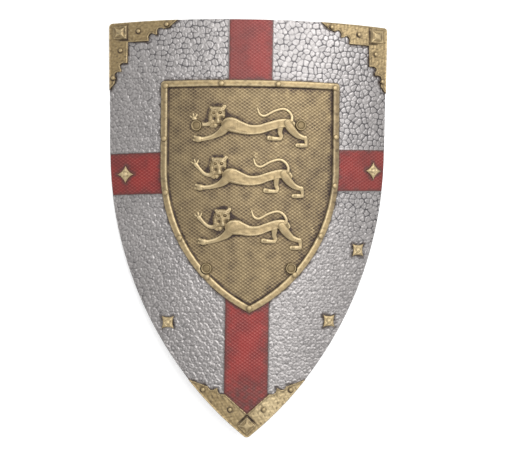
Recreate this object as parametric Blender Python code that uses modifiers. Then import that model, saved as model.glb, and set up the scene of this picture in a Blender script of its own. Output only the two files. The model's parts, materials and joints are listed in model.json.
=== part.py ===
"""Heater shield of hammered steel with an enamelled cross and brass mounts.

The shield lies on its back with its bowed face up: +X to its right, +Y to its top edge and
+Z out of its face. Every sheet and casting is drawn flat first, with x and y in the plan of the
shield and h the height over its face, and is then bowed. Round fixings are turned and set on
the bowed face, square to it.
"""

import math

import bmesh
import bpy
from mathutils import Matrix, Vector

MM = 0.001
CLEARANCE = 0.3 * MM
WELD = 0.001 * MM
SLIVER = 0.04 * MM
FLAT_ANGLE = math.radians(0.4)
SMOOTH_ANGLE = math.radians(40)
FACING_UP = 0.99

# Bow of the shield across its width
BOW_RADIUS = 535 * MM
STRIP_WIDTH = 22 * MM

# Outline of the shield
SHIELD_TOP = 300 * MM
SHIELD_TIP = -301.5 * MM
SHIELD_HALF_TOP = 204 * MM
SHIELD_HALF_WAIST = 201.5 * MM
SHIELD_WAIST = 110 * MM
SHIELD_ARC_HEIGHT = 117 * MM
SHIELD_ARCH = 3 * MM
SHIELD_CORNER_RADIUS = 5 * MM
SHIELD_TIP_RADIUS = 6 * MM
PLATE_THICKNESS = 2.4 * MM

# Sunk cross, whose stem leans and whose arms rise a little to the right
CROSS_DEPTH = 0.8 * MM
STEM_HALF_WIDTH = 32 * MM
STEM_LEAN = math.radians(0.42)
ARM_BOTTOM = 51 * MM
ARM_TOP = 112 * MM
ARM_RISE = math.radians(1.45)
CROSS_REACH = 330 * MM

# Outline and rim of the escutcheon
ESCUTCHEON_CENTRE = 2.2 * MM
ESCUTCHEON_TOP = 212 * MM
ESCUTCHEON_TIP = -121.5 * MM
ESCUTCHEON_HALF_WIDTH = 128 * MM
ESCUTCHEON_WAIST = 85 * MM
ESCUTCHEON_ARCH = 1.4 * MM
ESCUTCHEON_CORNER_RADIUS = 5 * MM
ESCUTCHEON_LAP = 4 * MM
RIM_WIDTH = 10 * MM
RIM_BEVEL = 1.6 * MM
RIM_SHOULDER = 4.6 * MM
RIM_HEIGHT = 6 * MM
GROUND_HEIGHT = 2.5 * MM

# Corner mounts and chape
MOUNT_HEIGHT = 2.4 * MM
MOUNT_LIP_WIDTH = 1.3 * MM
MOUNT_LIP_DEPTH = 0.6 * MM
MOUNT_OVERHANG = 6 * MM
BLOCK_SIZE = 19 * MM
BLOCK_HEIGHT = 3.8 * MM
BLOCK_STAR_RADIUS = 11 * MM
BLOCK_STAR_WAIST = 3.4 * MM
BLOCK_STAR_RISE = 1.1 * MM
CORNER_BLOCK = (187.5 * MM, 283 * MM)
CHAPE_BLOCK = (0, -283 * MM)

# Free stars
STAR_RADIUS = 12.6 * MM
STAR_WAIST = 7.2 * MM
STAR_EDGE = 0.9 * MM
STAR_RISE = 1.3 * MM
STAR_BOSS_RADIUS = 3 * MM
STAR_BOSS_HEIGHT = 2.9 * MM

STAR_SKIRT = 0.45 * MM

# Round fixings
SHANK_RADIUS = 1.4 * MM
HOLE_RADIUS = 2.0 * MM
HOLE_SIDES = 6
TAIL_RADIUS = 2.8 * MM
TAIL_HEIGHT = 1.3 * MM
RIM_RIVET_RADIUS = 4 * MM
RIM_RIVET_HEIGHT = 1.8 * MM
RIM_RIVET_SHOULDER = (2.64 * MM, 1.37 * MM)
SMALL_RIVET_RADIUS = 3 * MM
SMALL_RIVET_HEIGHT = 1.5 * MM
RIVET_SIDES = 8
SMALL_RIVET_SIDES = 6
STUD_RADIUS = 8 * MM
STUD_EDGE = 1.5 * MM
STUD_HEIGHT = 3 * MM
STUD_POCKET_RADIUS = 8.6 * MM
STUD_POCKET_FLOOR = 2.56 * MM
STUD_SIDES = 12

# Places of the fixings
RIM_RIVET_INSET = 5.4 * MM
RIM_CORNER_INSET = 7 * MM
RIM_TOP_RIVETS = (-39.8 * MM, 40.8 * MM)
RIM_LEFT_HEIGHTS = (127.5 * MM, 50 * MM, -15 * MM, -70.5 * MM)
RIM_RIGHT_HEIGHTS = (132.5 * MM, 62 * MM, -10.5 * MM, -66.5 * MM)
RIM_TIP_RIVET = -114.5 * MM
CORNER_RIVETS = ((119, 292.5), (160, 284), (186, 257), (196.8, 217.5))
CHAPE_RIVETS = ((24, -259.6), (62.7, -231.5))
STUDS = {
    "stud_upper_left": (-75.1, 146.2),
    "stud_upper_right": (74.0, 148.3),
    "stud_lower_left": (-59.2, -58.4),
    "stud_lower_right": (61.2, -57.5),
}
STARS = {
    "star_upper_left": (-177.9, 76.5, 0),
    "star_upper_right": (184.0, 85.5, 0),
    "star_middle_right": (161.0, -30.5, 45),
    "star_lower_left": (-114.3, -136.2, 45),
    "star_lower_right": (118.0, -133.3, 45),
}

# Lions, each drawn in millimetres about the middle of its head
LIONS = (
    {"head": (-45.3, 161.0), "trunk": 106.8, "paw_drop": 7.0},
    {"head": (-42.7, 88.1), "trunk": 99.3, "paw_drop": 0.0},
    {"head": (-37.3, 13.7), "trunk": 91.6, "paw_drop": 1.5},
)
LION_SINK = 0.4 * MM
LION_ROOT = 0.8 * MM
LION_GRAIN = 0.9 * MM
LION_FACETS = 545

# Inner edges of the mounts: along, across and the depth of a round bite up to the next point
CORNER_EDGE = (
    (105, -6, 0), (88, 8.5, 0), (80, 10.5, 3.6), (70.5, 14, 0), (71, 18.5, 0),
    (67, 18.5, 3.6), (58, 21.5, 0), (58.5, 27.5, 0), (28, 28, 0),
)
CHAPE_EDGE = (
    (88, -216, 0), (56, -227, 3.6), (45, -229.8, 0), (42.5, -229, 4.2), (31.5, -238, 0),
    (0, -266, 0),
)


def clear_scene():
    """Remove every object that the file already holds."""
    for thing in list(bpy.data.objects):
        bpy.data.objects.remove(thing)


def metal(name, colour, metallic, roughness):
    """A Principled material with one colour."""
    material = bpy.data.materials.new(name)
    material.use_nodes = True
    surface = material.node_tree.nodes["Principled BSDF"]
    surface.inputs["Base Color"].default_value = (*colour, 1)
    surface.inputs["Metallic"].default_value = metallic
    surface.inputs["Roughness"].default_value = roughness
    material.diffuse_color = (*colour, 1)
    return material


def hammered_steel():
    """Pale silvered steel of the shield's face."""
    return metal("hammered_steel", (0.40, 0.39, 0.37), 1.0, 0.45)


def red_enamel():
    """Dull red enamel in the sunk cross."""
    return metal("red_enamel", (0.30, 0.05, 0.045), 0.0, 0.5)


def aged_brass():
    """Worn antique brass of every mount and fixing."""
    return metal("aged_brass", (0.42, 0.31, 0.15), 1.0, 0.42)


def on_arc(x, h):
    """Place on the bow's circle of a point x across and h over the face."""
    scale = (BOW_RADIUS + h) / BOW_RADIUS
    return Vector((x, math.sqrt(BOW_RADIUS ** 2 - x ** 2))) * scale


def crest_height():
    """Height of the face's crest when the back of the side edges is at zero."""
    return BOW_RADIUS - on_arc(SHIELD_HALF_TOP, -PLATE_THICKNESS).y


def bowed(point):
    """Move a point of the flat drawing onto the bow, which is flat across each strip."""
    strip = math.floor(point.x / STRIP_WIDTH + 0.5)
    start = (strip - 0.5) * STRIP_WIDTH
    share = (point.x - start) / STRIP_WIDTH
    place = on_arc(start, point.z).lerp(on_arc(start + STRIP_WIDTH, point.z), share)
    return Vector((place.x, point.y, place.y - BOW_RADIUS + crest_height()))


def bow(piece):
    """Cut a flat piece into strips along its length and bow it."""
    work = bmesh.new()
    work.from_mesh(piece.data)
    bmesh.ops.remove_doubles(work, verts=work.verts, dist=SLIVER)
    bmesh.ops.dissolve_limit(work, angle_limit=FLAT_ANGLE, verts=work.verts, edges=work.edges)
    reach = math.ceil(SHIELD_HALF_TOP / STRIP_WIDTH)
    for strip in range(-reach, reach):
        bmesh.ops.bisect_plane(
            work,
            geom=[*work.verts, *work.edges, *work.faces],
            dist=SLIVER,
            plane_co=((strip + 0.5) * STRIP_WIDTH, 0, 0),
            plane_no=(1, 0, 0),
        )
    bmesh.ops.triangulate(work, faces=work.faces)
    for vert in work.verts:
        vert.co = bowed(vert.co)
    work.to_mesh(piece.data)
    work.free()


def seat(piece, x, y, h, spin=0.0):
    """Set a small piece on the bowed face, square to it and turned by spin about its own axis."""
    place = on_arc(x, h)
    piece.location = (place.x, y, place.y - BOW_RADIUS + crest_height())
    lean = Matrix.Rotation(math.asin(x / BOW_RADIUS), 4, "Y")
    piece.rotation_euler = (lean @ Matrix.Rotation(spin, 4, "Z")).to_euler()


def as_mesh(guide):
    """Turn a curve object into a mesh object with its caps welded, and remove the curve."""
    bpy.context.scene.collection.objects.link(guide)
    bpy.context.view_layer.update()
    graph = bpy.context.evaluated_depsgraph_get()
    mesh = bpy.data.meshes.new_from_object(guide.evaluated_get(graph))
    mesh.transform(guide.matrix_world)
    name = guide.name
    bpy.data.objects.remove(guide)
    work = bmesh.new()
    work.from_mesh(mesh)
    bmesh.ops.remove_doubles(work, verts=work.verts, dist=WELD)
    bmesh.ops.dissolve_limit(work, angle_limit=FLAT_ANGLE, verts=work.verts, edges=work.edges)
    bmesh.ops.recalc_face_normals(work, faces=work.faces)
    work.to_mesh(mesh)
    work.free()
    mesh.materials.clear()
    piece = bpy.data.objects.new(name, mesh)
    bpy.context.scene.collection.objects.link(piece)
    return piece


def flat_piece(name, outline, low, high):
    """A flat piece with the given outline, between two heights."""
    curve = bpy.data.curves.new(name, "CURVE")
    curve.dimensions = "2D"
    curve.fill_mode = "BOTH"
    curve.extrude = (high - low) / 2
    spline = curve.splines.new("POLY")
    spline.points.add(len(outline) - 1)
    for point, (x, y) in zip(spline.points, outline):
        point.co = (x, y, 0, 1)
    spline.use_cyclic_u = True
    guide = bpy.data.objects.new(name, curve)
    guide.location.z = (low + high) / 2
    return as_mesh(guide)


def settle(piece):
    """Keep what the modifiers of a piece make as its own mesh."""
    bpy.context.view_layer.update()
    graph = bpy.context.evaluated_depsgraph_get()
    mesh = bpy.data.meshes.new_from_object(piece.evaluated_get(graph))
    piece.modifiers.clear()
    piece.data = mesh


def combine(base, tool, operation):
    """Join, cut or crop base with tool, which is used up."""
    step = base.modifiers.new(operation.title(), "BOOLEAN")
    step.operation = operation
    step.object = tool
    step.solver = "EXACT"
    settle(base)
    bpy.data.objects.remove(tool)


def top_face(work):
    """The flat face that lies highest in a piece."""
    upward = [face for face in work.faces if face.normal.z > FACING_UP]
    return max(upward, key=lambda face: face.calc_center_median().z)


def step_in(piece, steps):
    """Step the top face in, by a width and a rise for each step."""
    work = bmesh.new()
    work.from_mesh(piece.data)
    top = top_face(work)
    for width, rise in steps:
        bmesh.ops.inset_region(work, faces=[top], thickness=width, depth=rise,
                               use_even_offset=True, use_boundary=True)
    work.to_mesh(piece.data)
    work.free()


def raise_point(piece, rise):
    """Raise the middle of the top face to a low point with flat facets around it."""
    work = bmesh.new()
    work.from_mesh(piece.data)
    bmesh.ops.poke(work, faces=[top_face(work)], offset=rise)
    work.to_mesh(piece.data)
    work.free()


def drill(piece, places, radius, low, sides=HOLE_SIDES):
    """Cut round holes at the given places, from height low upward."""
    depth = RIM_HEIGHT * 4
    work = bmesh.new()
    for x, y in places:
        bmesh.ops.create_cone(
            work, cap_ends=True, segments=sides, radius1=radius, radius2=radius, depth=depth,
            matrix=Matrix.Translation((x, y, low + depth / 2)),
        )
    mesh = bpy.data.meshes.new("drill")
    work.to_mesh(mesh)
    work.free()
    tool = bpy.data.objects.new("drill", mesh)
    bpy.context.scene.collection.objects.link(tool)
    combine(piece, tool, "DIFFERENCE")


def round_corner(before, corner, after, radius, count=3):
    """Points of an arc that rounds a corner between two straight runs."""
    back = (Vector(before) - Vector(corner)).normalized()
    onward = (Vector(after) - Vector(corner)).normalized()
    half = back.angle(onward) / 2
    centre = Vector(corner) + (back + onward).normalized() * radius / math.sin(half)
    start = Vector(corner) + back * radius / math.tan(half) - centre
    end = Vector(corner) + onward * radius / math.tan(half) - centre
    arc = [start.lerp(end, step / count).normalized() * radius for step in range(count + 1)]
    return [tuple(centre + spoke) for spoke in arc]


def arc_offset(half_waist, waist, tip, arc_height):
    """How far past the middle line the centre of a side arc lies."""
    drop = arc_height - tip
    lift = arc_height - waist
    return (drop ** 2 - lift ** 2 - half_waist ** 2) / (2 * half_waist)


def side_arc(half_waist, waist, tip, arc_height, count):
    """Right side of a heater outline, from its tip up to its waist."""
    offset = arc_offset(half_waist, waist, tip, arc_height)
    radius = math.hypot(offset, arc_height - tip)
    first = math.atan2(tip - arc_height, offset)
    last = math.atan2(waist - arc_height, half_waist + offset)
    turns = [first + (last - first) * step / count for step in range(count + 1)]
    return [(radius * math.cos(turn) - offset, arc_height + radius * math.sin(turn))
            for turn in turns]


def top_arch(half_top, top, arch, count):
    """Points of the arched top edge between its corners, from right to left."""
    spots = [half_top * (1 - 2 * step / count) for step in range(1, count)]
    return [(x, top - arch * (x / half_top) ** 2) for x in spots]


def mirrored(points):
    """The points of the other side, in the reverse order."""
    return [(-x, y) for x, y in reversed(points)]


def shield_outline():
    """Outline of the shield with its corners and tip a little rounded."""
    side = side_arc(SHIELD_HALF_WAIST, SHIELD_WAIST, SHIELD_TIP, SHIELD_ARC_HEIGHT, 14)
    arch = top_arch(SHIELD_HALF_TOP, SHIELD_TOP, SHIELD_ARCH, 10)
    corner = (SHIELD_HALF_TOP, SHIELD_TOP - SHIELD_ARCH)
    right = side[1:] + round_corner(side[-1], corner, arch[0], SHIELD_CORNER_RADIUS)
    tip = round_corner((-side[1][0], side[1][1]), side[0], side[1], SHIELD_TIP_RADIUS)
    return tip + right + arch + mirrored(right)


def escutcheon_outline(inset=0.0):
    """Outline of the escutcheon, or of a smaller one inset from it."""
    half = ESCUTCHEON_HALF_WIDTH - inset
    side = side_arc(half, ESCUTCHEON_WAIST, ESCUTCHEON_TIP + inset, ESCUTCHEON_WAIST, 12)
    top = ESCUTCHEON_TOP - inset
    arch = top_arch(half, top, ESCUTCHEON_ARCH, 8)
    right = side[1:] + [(half, top - ESCUTCHEON_ARCH)]
    outline = side[:1] + right + arch + mirrored(right)
    return [(ESCUTCHEON_CENTRE + x, y) for x, y in outline]


def bite(start, end, depth, count=3):
    """Points between two ends along a round bite into the metal on the left."""
    run = Vector(end) - Vector(start)
    aside = Vector((-run.y, run.x)).normalized()
    shares = [step / count for step in range(1, count)]
    return [tuple(Vector(start) + run * share + aside * depth * 4 * share * (1 - share))
            for share in shares]


def notched_edge(knots):
    """Inner edge of a mount, given in millimetres, with its round bites."""
    edge = []
    for (along, across, depth), (next_along, next_across, _) in zip(knots, knots[1:]):
        edge.append((along, across))
        if depth:
            edge += bite((along, across), (next_along, next_across), depth)
    edge.append(knots[-1][:2])
    return [(along * MM, across * MM) for along, across in edge]


def star_outline(radius, waist, turn=0.0, count=2):
    """Outline of a four-pointed star with hollow sides."""
    outline = []
    for quarter in range(4):
        angle = turn + quarter * math.pi / 2
        tip = Vector((math.cos(angle), math.sin(angle))) * radius
        onward = Vector((-tip.y, tip.x))
        middle = (tip + onward).normalized() * (2 * waist - (tip + onward).length / 2)
        for step in range(count + 1):
            share = step / (count + 1)
            spot = tip.lerp(middle, share).lerp(middle.lerp(onward, share), share)
            outline.append(tuple(spot))
    return outline


def turned(name, profile, sides):
    """A mesh turned about its own axis from a profile that runs down its outer side."""
    mesh = bpy.data.meshes.new(name + "_profile")
    points = [(radius, 0, height) for radius, height in profile]
    edges = [(step, step + 1) for step in range(len(profile) - 1)]
    mesh.from_pydata(points, edges, [])
    blank = bpy.data.objects.new(name + "_profile", mesh)
    bpy.context.scene.collection.objects.link(blank)
    lathe = blank.modifiers.new("Screw", "SCREW")
    lathe.steps = sides
    lathe.render_steps = sides
    lathe.use_merge_vertices = True
    lathe.merge_threshold = WELD
    bpy.context.view_layer.update()
    graph = bpy.context.evaluated_depsgraph_get()
    result = bpy.data.meshes.new_from_object(blank.evaluated_get(graph))
    result.name = name
    result.shade_smooth()
    result.set_sharp_from_angle(angle=SMOOTH_ANGLE)
    bpy.data.objects.remove(blank)
    return result


def shank_and_tail(seat_height):
    """Lower profile of a fixing whose head sits at seat_height, clenched behind the plate."""
    tail = -PLATE_THICKNESS - CLEARANCE - seat_height
    return [(SHANK_RADIUS, 0), (SHANK_RADIUS, tail), (TAIL_RADIUS, tail), (0, tail - TAIL_HEIGHT)]


def rim_rivet_mesh(seat_height):
    """A rivet with a low domed head."""
    head = [(0, RIM_RIVET_HEIGHT), RIM_RIVET_SHOULDER, (RIM_RIVET_RADIUS, 0)]
    return turned("rim_rivet", head + shank_and_tail(seat_height), RIVET_SIDES)


def small_rivet_mesh(seat_height):
    """A small rivet with a low pointed head."""
    head = [(0, SMALL_RIVET_HEIGHT), (SMALL_RIVET_RADIUS, 0)]
    return turned("small_rivet", head + shank_and_tail(seat_height), SMALL_RIVET_SIDES)


def stud_mesh(seat_height):
    """A large stud with a flat head and a bevelled edge."""
    head = [
        (0, STUD_HEIGHT), (STUD_RADIUS - STUD_EDGE, STUD_HEIGHT),
        (STUD_RADIUS, STUD_HEIGHT - STUD_EDGE), (STUD_RADIUS, 0),
    ]
    return turned("stud", head + shank_and_tail(seat_height), STUD_SIDES)


def star_mesh():
    """A four-pointed star with low ridges, a round boss and its own clenched pin."""
    star = flat_piece("star", star_outline(STAR_RADIUS, STAR_WAIST), 0, STAR_EDGE)
    raise_point(star, STAR_RISE)
    boss = [
        (0, STAR_BOSS_HEIGHT), (STAR_BOSS_RADIUS, STAR_BOSS_HEIGHT),
        (STAR_BOSS_RADIUS, STAR_SKIRT), (SHANK_RADIUS, STAR_SKIRT),
    ]
    profile = boss + shank_and_tail(CLEARANCE)[1:]
    pin = bpy.data.objects.new("pin", turned("pin", profile, SMALL_RIVET_SIDES))
    bpy.context.scene.collection.objects.link(pin)
    combine(star, pin, "UNION")
    mesh = star.data
    bpy.data.objects.remove(star)
    return mesh


def smooth_path(knots, detail):
    """Points of a smooth line through the knots, with detail points for each stretch."""
    padded = [knots[0], *knots, knots[-1]]
    path = []
    for before, start, end, after in zip(padded, padded[1:], padded[2:], padded[3:]):
        before, start, end, after = (Vector(knot) for knot in (before, start, end, after))
        for step in range(detail):
            t = step / detail
            bend = 2 * before - 5 * start + 4 * end - after
            twist = 3 * start - before - 3 * end + after
            path.append(start + ((end - before) * t + bend * t ** 2 + twist * t ** 3) / 2)
    path.append(Vector(knots[-1]))
    return path


def stroke(knots, flatten, detail=2, rings=2):
    """A tapered limb through knots of x, y and half-width in millimetres, pressed flatter."""
    path = smooth_path(knots, detail)
    curve = bpy.data.curves.new("stroke", "CURVE")
    curve.dimensions = "3D"
    curve.twist_mode = "Z_UP"
    curve.bevel_depth = MM
    curve.bevel_resolution = rings
    curve.use_fill_caps = True
    spline = curve.splines.new("POLY")
    spline.points.add(len(path) - 1)
    for point, (x, y, width) in zip(spline.points, path):
        point.co = (x * MM, y * MM, 0, 1)
        point.radius = width
    guide = bpy.data.objects.new("stroke", curve)
    guide.scale.z = flatten
    guide.location.z = GROUND_HEIGHT - LION_SINK
    return as_mesh(guide)


def swelling(x, y, half_width, half_length, height, turn=0.0, fullness=1.0):
    """A rounded swelling of the relief, in millimetres, squarer where fullness is under one."""
    work = bmesh.new()
    bmesh.ops.create_uvsphere(work, u_segments=12, v_segments=6, radius=1)
    for vert in work.verts:
        vert.co = [math.copysign(abs(reach) ** fullness, reach) for reach in vert.co]
    shape = Matrix.Translation((x * MM, y * MM, GROUND_HEIGHT - LION_SINK))
    shape = shape @ Matrix.Rotation(turn, 4, "Z")
    shape = shape @ Matrix.Diagonal((half_width * MM, half_length * MM, height * MM, 1))
    work.transform(shape)
    mesh = bpy.data.meshes.new("swelling")
    work.to_mesh(mesh)
    work.free()
    piece = bpy.data.objects.new("swelling", mesh)
    bpy.context.scene.collection.objects.link(piece)
    return piece


def moved(knots, x, y):
    """The same knots moved by x and y."""
    return [(knot_x + x, knot_y + y, width) for knot_x, knot_y, width in knots]


def lion_trunk(head, length):
    """Chest, waist and rump, as shares of the trunk's length, heights and half-widths."""
    spine = (
        (0.05, -12, 8), (0.15, -13.3, 11), (0.3, -17.7, 9.3), (0.43, -20.2, 7.8),
        (0.57, -19.3, 7.2), (0.7, -14.7, 6.9), (0.85, -10.5, 7), (0.96, -10, 6.4), (1.02, -13, 4.5),
    )
    knots = [(share * length, y, width) for share, y, width in spine]
    return [stroke(moved(knots, *head), 0.42, rings=3)]


def lion_hind_legs(rump):
    """Stretched hind leg with its foot turned back, tucked hind leg and tail."""
    stretched = [(-7, -7, 6.4), (-3, -13, 6.6), (3, -20, 5.6), (9, -24.6, 4.6), (19, -28, 3.6)]
    shin = [(19, -27, 3.5), (20.2, -33, 2.9), (19.6, -38.2, 3.1)]
    foot = [(20, -38.2, 3.3), (13, -38.4, 3.8), (7, -38.2, 3.3)]
    tucked = [(-17, -13, 4.8), (-17.5, -21, 3.8), (-15.6, -27, 3.4), (-19, -29.6, 3)]
    tucked_foot = [(-17, -29.6, 3), (-26, -29.4, 3.5), (-33.4, -28.4, 4.1)]
    tail = [(-1, -3, 2.9), (-0.6, 3, 2.4), (-5, 10, 2.1), (-13.6, 13.6, 2.1), (-26.3, 10, 2.1),
            (-39.4, 3.1, 2), (-47, 5.9, 1.9), (-49.9, 14.3, 1.1)]
    limbs = [stroke(moved(knots, *rump), 0.85) for knots in (stretched, tucked)]
    limbs += [stroke(moved(knots, *rump), 0.9, detail=1) for knots in (shin, foot, tucked_foot)]
    limbs.append(stroke(moved(tail, *rump), 1.0, rings=1))
    return limbs


def lion_fore_legs(head, paw_drop):
    """Raised foreleg with spread claws and lower foreleg with its paw."""
    raised = [(-7, -9, 4), (-13, -12.6, 3.4), (-20, -11 - paw_drop / 3, 2.8),
              (-27, -4.5 - paw_drop, 2.7), (-33, 2.4 - paw_drop, 3.6)]
    claws = (
        [(-32.5, 1, 2.2), (-39, 6, 1.2)],
        [(-33, 2, 2.2), (-34.8, 9.6, 1.2)],
        [(-32, 1.6, 2.2), (-29.4, 8.4, 1.2)],
    )
    lower = [(13, -18, 6.8), (7.5, -24.6, 5.3), (0, -28.2, 4.3), (-9, -31.4, 3.7), (-18, -33.6, 3.4),
             (-22, -34.2, 3.6)]
    toes = (
        [(-27, -32.6, 3.3), (-32.2, -30.6, 2.3)],
        [(-27, -35.6, 3.3), (-33, -35.2, 2.3)],
    )
    limbs = [stroke(moved(knots, *head), 0.85) for knots in (raised, lower)]
    for claw in claws:
        limbs.append(stroke(moved(claw, head[0], head[1] - paw_drop), 0.9, detail=1, rings=1))
    for toe in toes:
        limbs.append(stroke(moved(toe, *head), 0.9, detail=1, rings=1))
    limbs.append(swelling(head[0] - 26.5, head[1] - 34.2, 5.6, 5.1, 4.2))
    return limbs


def lion_head(head):
    """Broad skull, mane, jaw, muzzle and two small ears, turned to look out of the shield."""
    x, y = head
    left_ear = [(-7, 8, 3.4), (-9.9, 12, 2.2)]
    right_ear = [(7.4, 8.6, 3.4), (10.8, 13, 2.3)]
    parts = [stroke(moved(ear, x, y), 0.9, detail=1) for ear in (left_ear, right_ear)]
    return parts + [
        swelling(x + 0.3, y + 2.4, 10.8, 10.2, 4, fullness=0.6),
        swelling(x - 5, y - 7.6, 8.2, 11.2, 3.6, math.radians(-8)),
        swelling(x + 0.9, y - 5.6, 7.2, 8.4, 4.6),
        swelling(x + 1.2, y - 7.4, 4.3, 4.6, 5.7),
    ]


def gathered(name, parts):
    """One object that holds the meshes of all the parts, which are used up."""
    work = bmesh.new()
    for part in parts:
        work.from_mesh(part.data)
        bpy.data.objects.remove(part)
    mesh = bpy.data.meshes.new(name)
    work.to_mesh(mesh)
    work.free()
    whole = bpy.data.objects.new(name, mesh)
    bpy.context.scene.collection.objects.link(whole)
    return whole


def add_lion(escutcheon, head, trunk, paw_drop):
    """Raise one walking lion from the ground of the escutcheon."""
    rump = (head[0] + trunk, head[1] - 3.2)
    parts = lion_trunk(head, trunk) + lion_hind_legs(rump)
    parts += lion_fore_legs(head, paw_drop) + lion_head(head)
    lion = gathered("lion", parts)
    fuse = lion.modifiers.new("Fuse", "REMESH")
    fuse.mode = "VOXEL"
    fuse.voxel_size = LION_GRAIN
    settle(lion)
    for vert in lion.data.vertices:
        vert.co.z = max(vert.co.z, GROUND_HEIGHT - LION_ROOT)
    facet = lion.modifiers.new("Facet", "DECIMATE")
    facet.ratio = LION_FACETS / (2 * len(lion.data.polygons))
    settle(lion)
    combine(escutcheon, lion, "UNION")


def rim_rivet_place(side, y):
    """Place of a rivet along the middle of the rim, on the side with the given sign."""
    half = ESCUTCHEON_HALF_WIDTH
    if y >= ESCUTCHEON_WAIST:
        return ESCUTCHEON_CENTRE + side * (half - RIM_RIVET_INSET), y
    offset = arc_offset(half, ESCUTCHEON_WAIST, ESCUTCHEON_TIP, ESCUTCHEON_WAIST)
    radius = half + offset - RIM_RIVET_INSET
    reach = math.sqrt(radius ** 2 - (y - ESCUTCHEON_WAIST) ** 2) - offset
    return ESCUTCHEON_CENTRE + side * reach, y


def rim_rivet_places():
    """Places of all the rivets through the rim, from the top left round to the tip."""
    top = ESCUTCHEON_TOP - RIM_RIVET_INSET
    corner = ESCUTCHEON_HALF_WIDTH - RIM_CORNER_INSET
    corner_height = ESCUTCHEON_TOP - ESCUTCHEON_ARCH - RIM_CORNER_INSET
    places = [(ESCUTCHEON_CENTRE + side * corner, corner_height) for side in (-1, 1)]
    places += [(x, top) for x in RIM_TOP_RIVETS]
    places += [rim_rivet_place(-1, y) for y in RIM_LEFT_HEIGHTS]
    places += [rim_rivet_place(1, y) for y in RIM_RIGHT_HEIGHTS]
    places.append((ESCUTCHEON_CENTRE, RIM_TIP_RIVET))
    return places


def in_metres(places):
    """Places given in millimetres, as metres."""
    return [(x * MM, y * MM) for x, y, *_ in places]


def both_sides(places):
    """Places and their mirror images."""
    return [(side * x, y) for side in (-1, 1) for x, y in places]


def cross_arm(name, direction, low_side, high_side, low, high):
    """One long bar of the cross, between two offsets aside from its direction."""
    along = Vector((math.cos(direction), math.sin(direction)))
    aside = Vector((-along.y, along.x))
    corners = [
        aside * low_side - along * CROSS_REACH, aside * low_side + along * CROSS_REACH,
        aside * high_side + along * CROSS_REACH, aside * high_side - along * CROSS_REACH,
    ]
    return flat_piece(name, [tuple(corner) for corner in corners], low, high)


def sunk_cross():
    """Tool that sinks the part of the cross outside the escutcheon into the face."""
    low = -CROSS_DEPTH
    high = RIM_HEIGHT
    upright = math.pi / 2 - STEM_LEAN
    stem = cross_arm("cross", upright, -STEM_HALF_WIDTH, STEM_HALF_WIDTH, low, high)
    arms = cross_arm("arms", ARM_RISE, ARM_BOTTOM, ARM_TOP, low, high)
    combine(stem, arms, "UNION")
    covered = flat_piece("covered", escutcheon_outline(ESCUTCHEON_LAP), 2 * low, 2 * high)
    combine(stem, covered, "DIFFERENCE")
    return stem


def make_plate():
    """Shield plate with its sunk cross and a hole for every fixing."""
    plate = flat_piece("shield_plate", shield_outline(), -PLATE_THICKNESS, 0)
    combine(plate, sunk_cross(), "DIFFERENCE")
    places = rim_rivet_places() + in_metres(STUDS.values()) + in_metres(STARS.values())
    places += both_sides(in_metres(CORNER_RIVETS + CHAPE_RIVETS))
    drill(plate, places, HOLE_RADIUS, -RIM_HEIGHT)
    bow(plate)
    return plate


def enamel_cross(plate):
    """Give the floor of the sunk cross its enamel."""
    plate.data.materials.append(red_enamel())
    for face in plate.data.polygons:
        x, _, z = face.center
        over = Vector((x, z - crest_height() + BOW_RADIUS)).length - BOW_RADIUS
        sunk = over < -CROSS_DEPTH + CLEARANCE
        if face.normal.z > 0 and sunk:
            face.material_index = 1


def round_off(piece, side):
    """Round off an upper corner of the escutcheon, on the side with the given sign."""
    half = ESCUTCHEON_HALF_WIDTH
    corner = (half, ESCUTCHEON_TOP - ESCUTCHEON_ARCH)
    arch = top_arch(half, ESCUTCHEON_TOP, ESCUTCHEON_ARCH, 8)
    arc = round_corner((half, ESCUTCHEON_WAIST), corner, arch[0], ESCUTCHEON_CORNER_RADIUS)
    far_x, far_y = corner[0] + ESCUTCHEON_CORNER_RADIUS, corner[1] + ESCUTCHEON_CORNER_RADIUS
    waste = arc + [(arc[-1][0], far_y), (far_x, far_y), (far_x, arc[0][1])]
    waste = [(ESCUTCHEON_CENTRE + side * x, y) for x, y in waste]
    combine(piece, flat_piece("waste", waste, -RIM_HEIGHT, 2 * RIM_HEIGHT), "DIFFERENCE")


def make_escutcheon():
    """Cast escutcheon with a bevelled rim, a sunk ground and three walking lions."""
    piece = flat_piece("lion_escutcheon", escutcheon_outline(), CLEARANCE, RIM_SHOULDER)
    step_in(piece, (
        (RIM_BEVEL, RIM_HEIGHT - RIM_SHOULDER),
        (RIM_WIDTH - 2 * RIM_BEVEL, 0),
        (RIM_BEVEL, GROUND_HEIGHT - RIM_HEIGHT),
    ))
    for side in (-1, 1):
        round_off(piece, side)
    for lion in LIONS:
        add_lion(piece, lion["head"], lion["trunk"], lion["paw_drop"])
    drill(piece, in_metres(STUDS.values()), STUD_POCKET_RADIUS, STUD_POCKET_FLOOR, STUD_SIDES)
    drill(piece, rim_rivet_places() + in_metres(STUDS.values()), HOLE_RADIUS, -RIM_HEIGHT)
    bow(piece)
    return piece


def cropped_mount(name, outline):
    """Flat mount cropped to the shield's outline, with a raised lip around it."""
    piece = flat_piece(name, outline, CLEARANCE, MOUNT_HEIGHT)
    crop = flat_piece("crop", shield_outline(), -MOUNT_HEIGHT, 2 * MOUNT_HEIGHT)
    combine(piece, crop, "INTERSECT")
    step_in(piece, ((MOUNT_LIP_WIDTH, -MOUNT_LIP_DEPTH),))
    return piece


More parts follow.
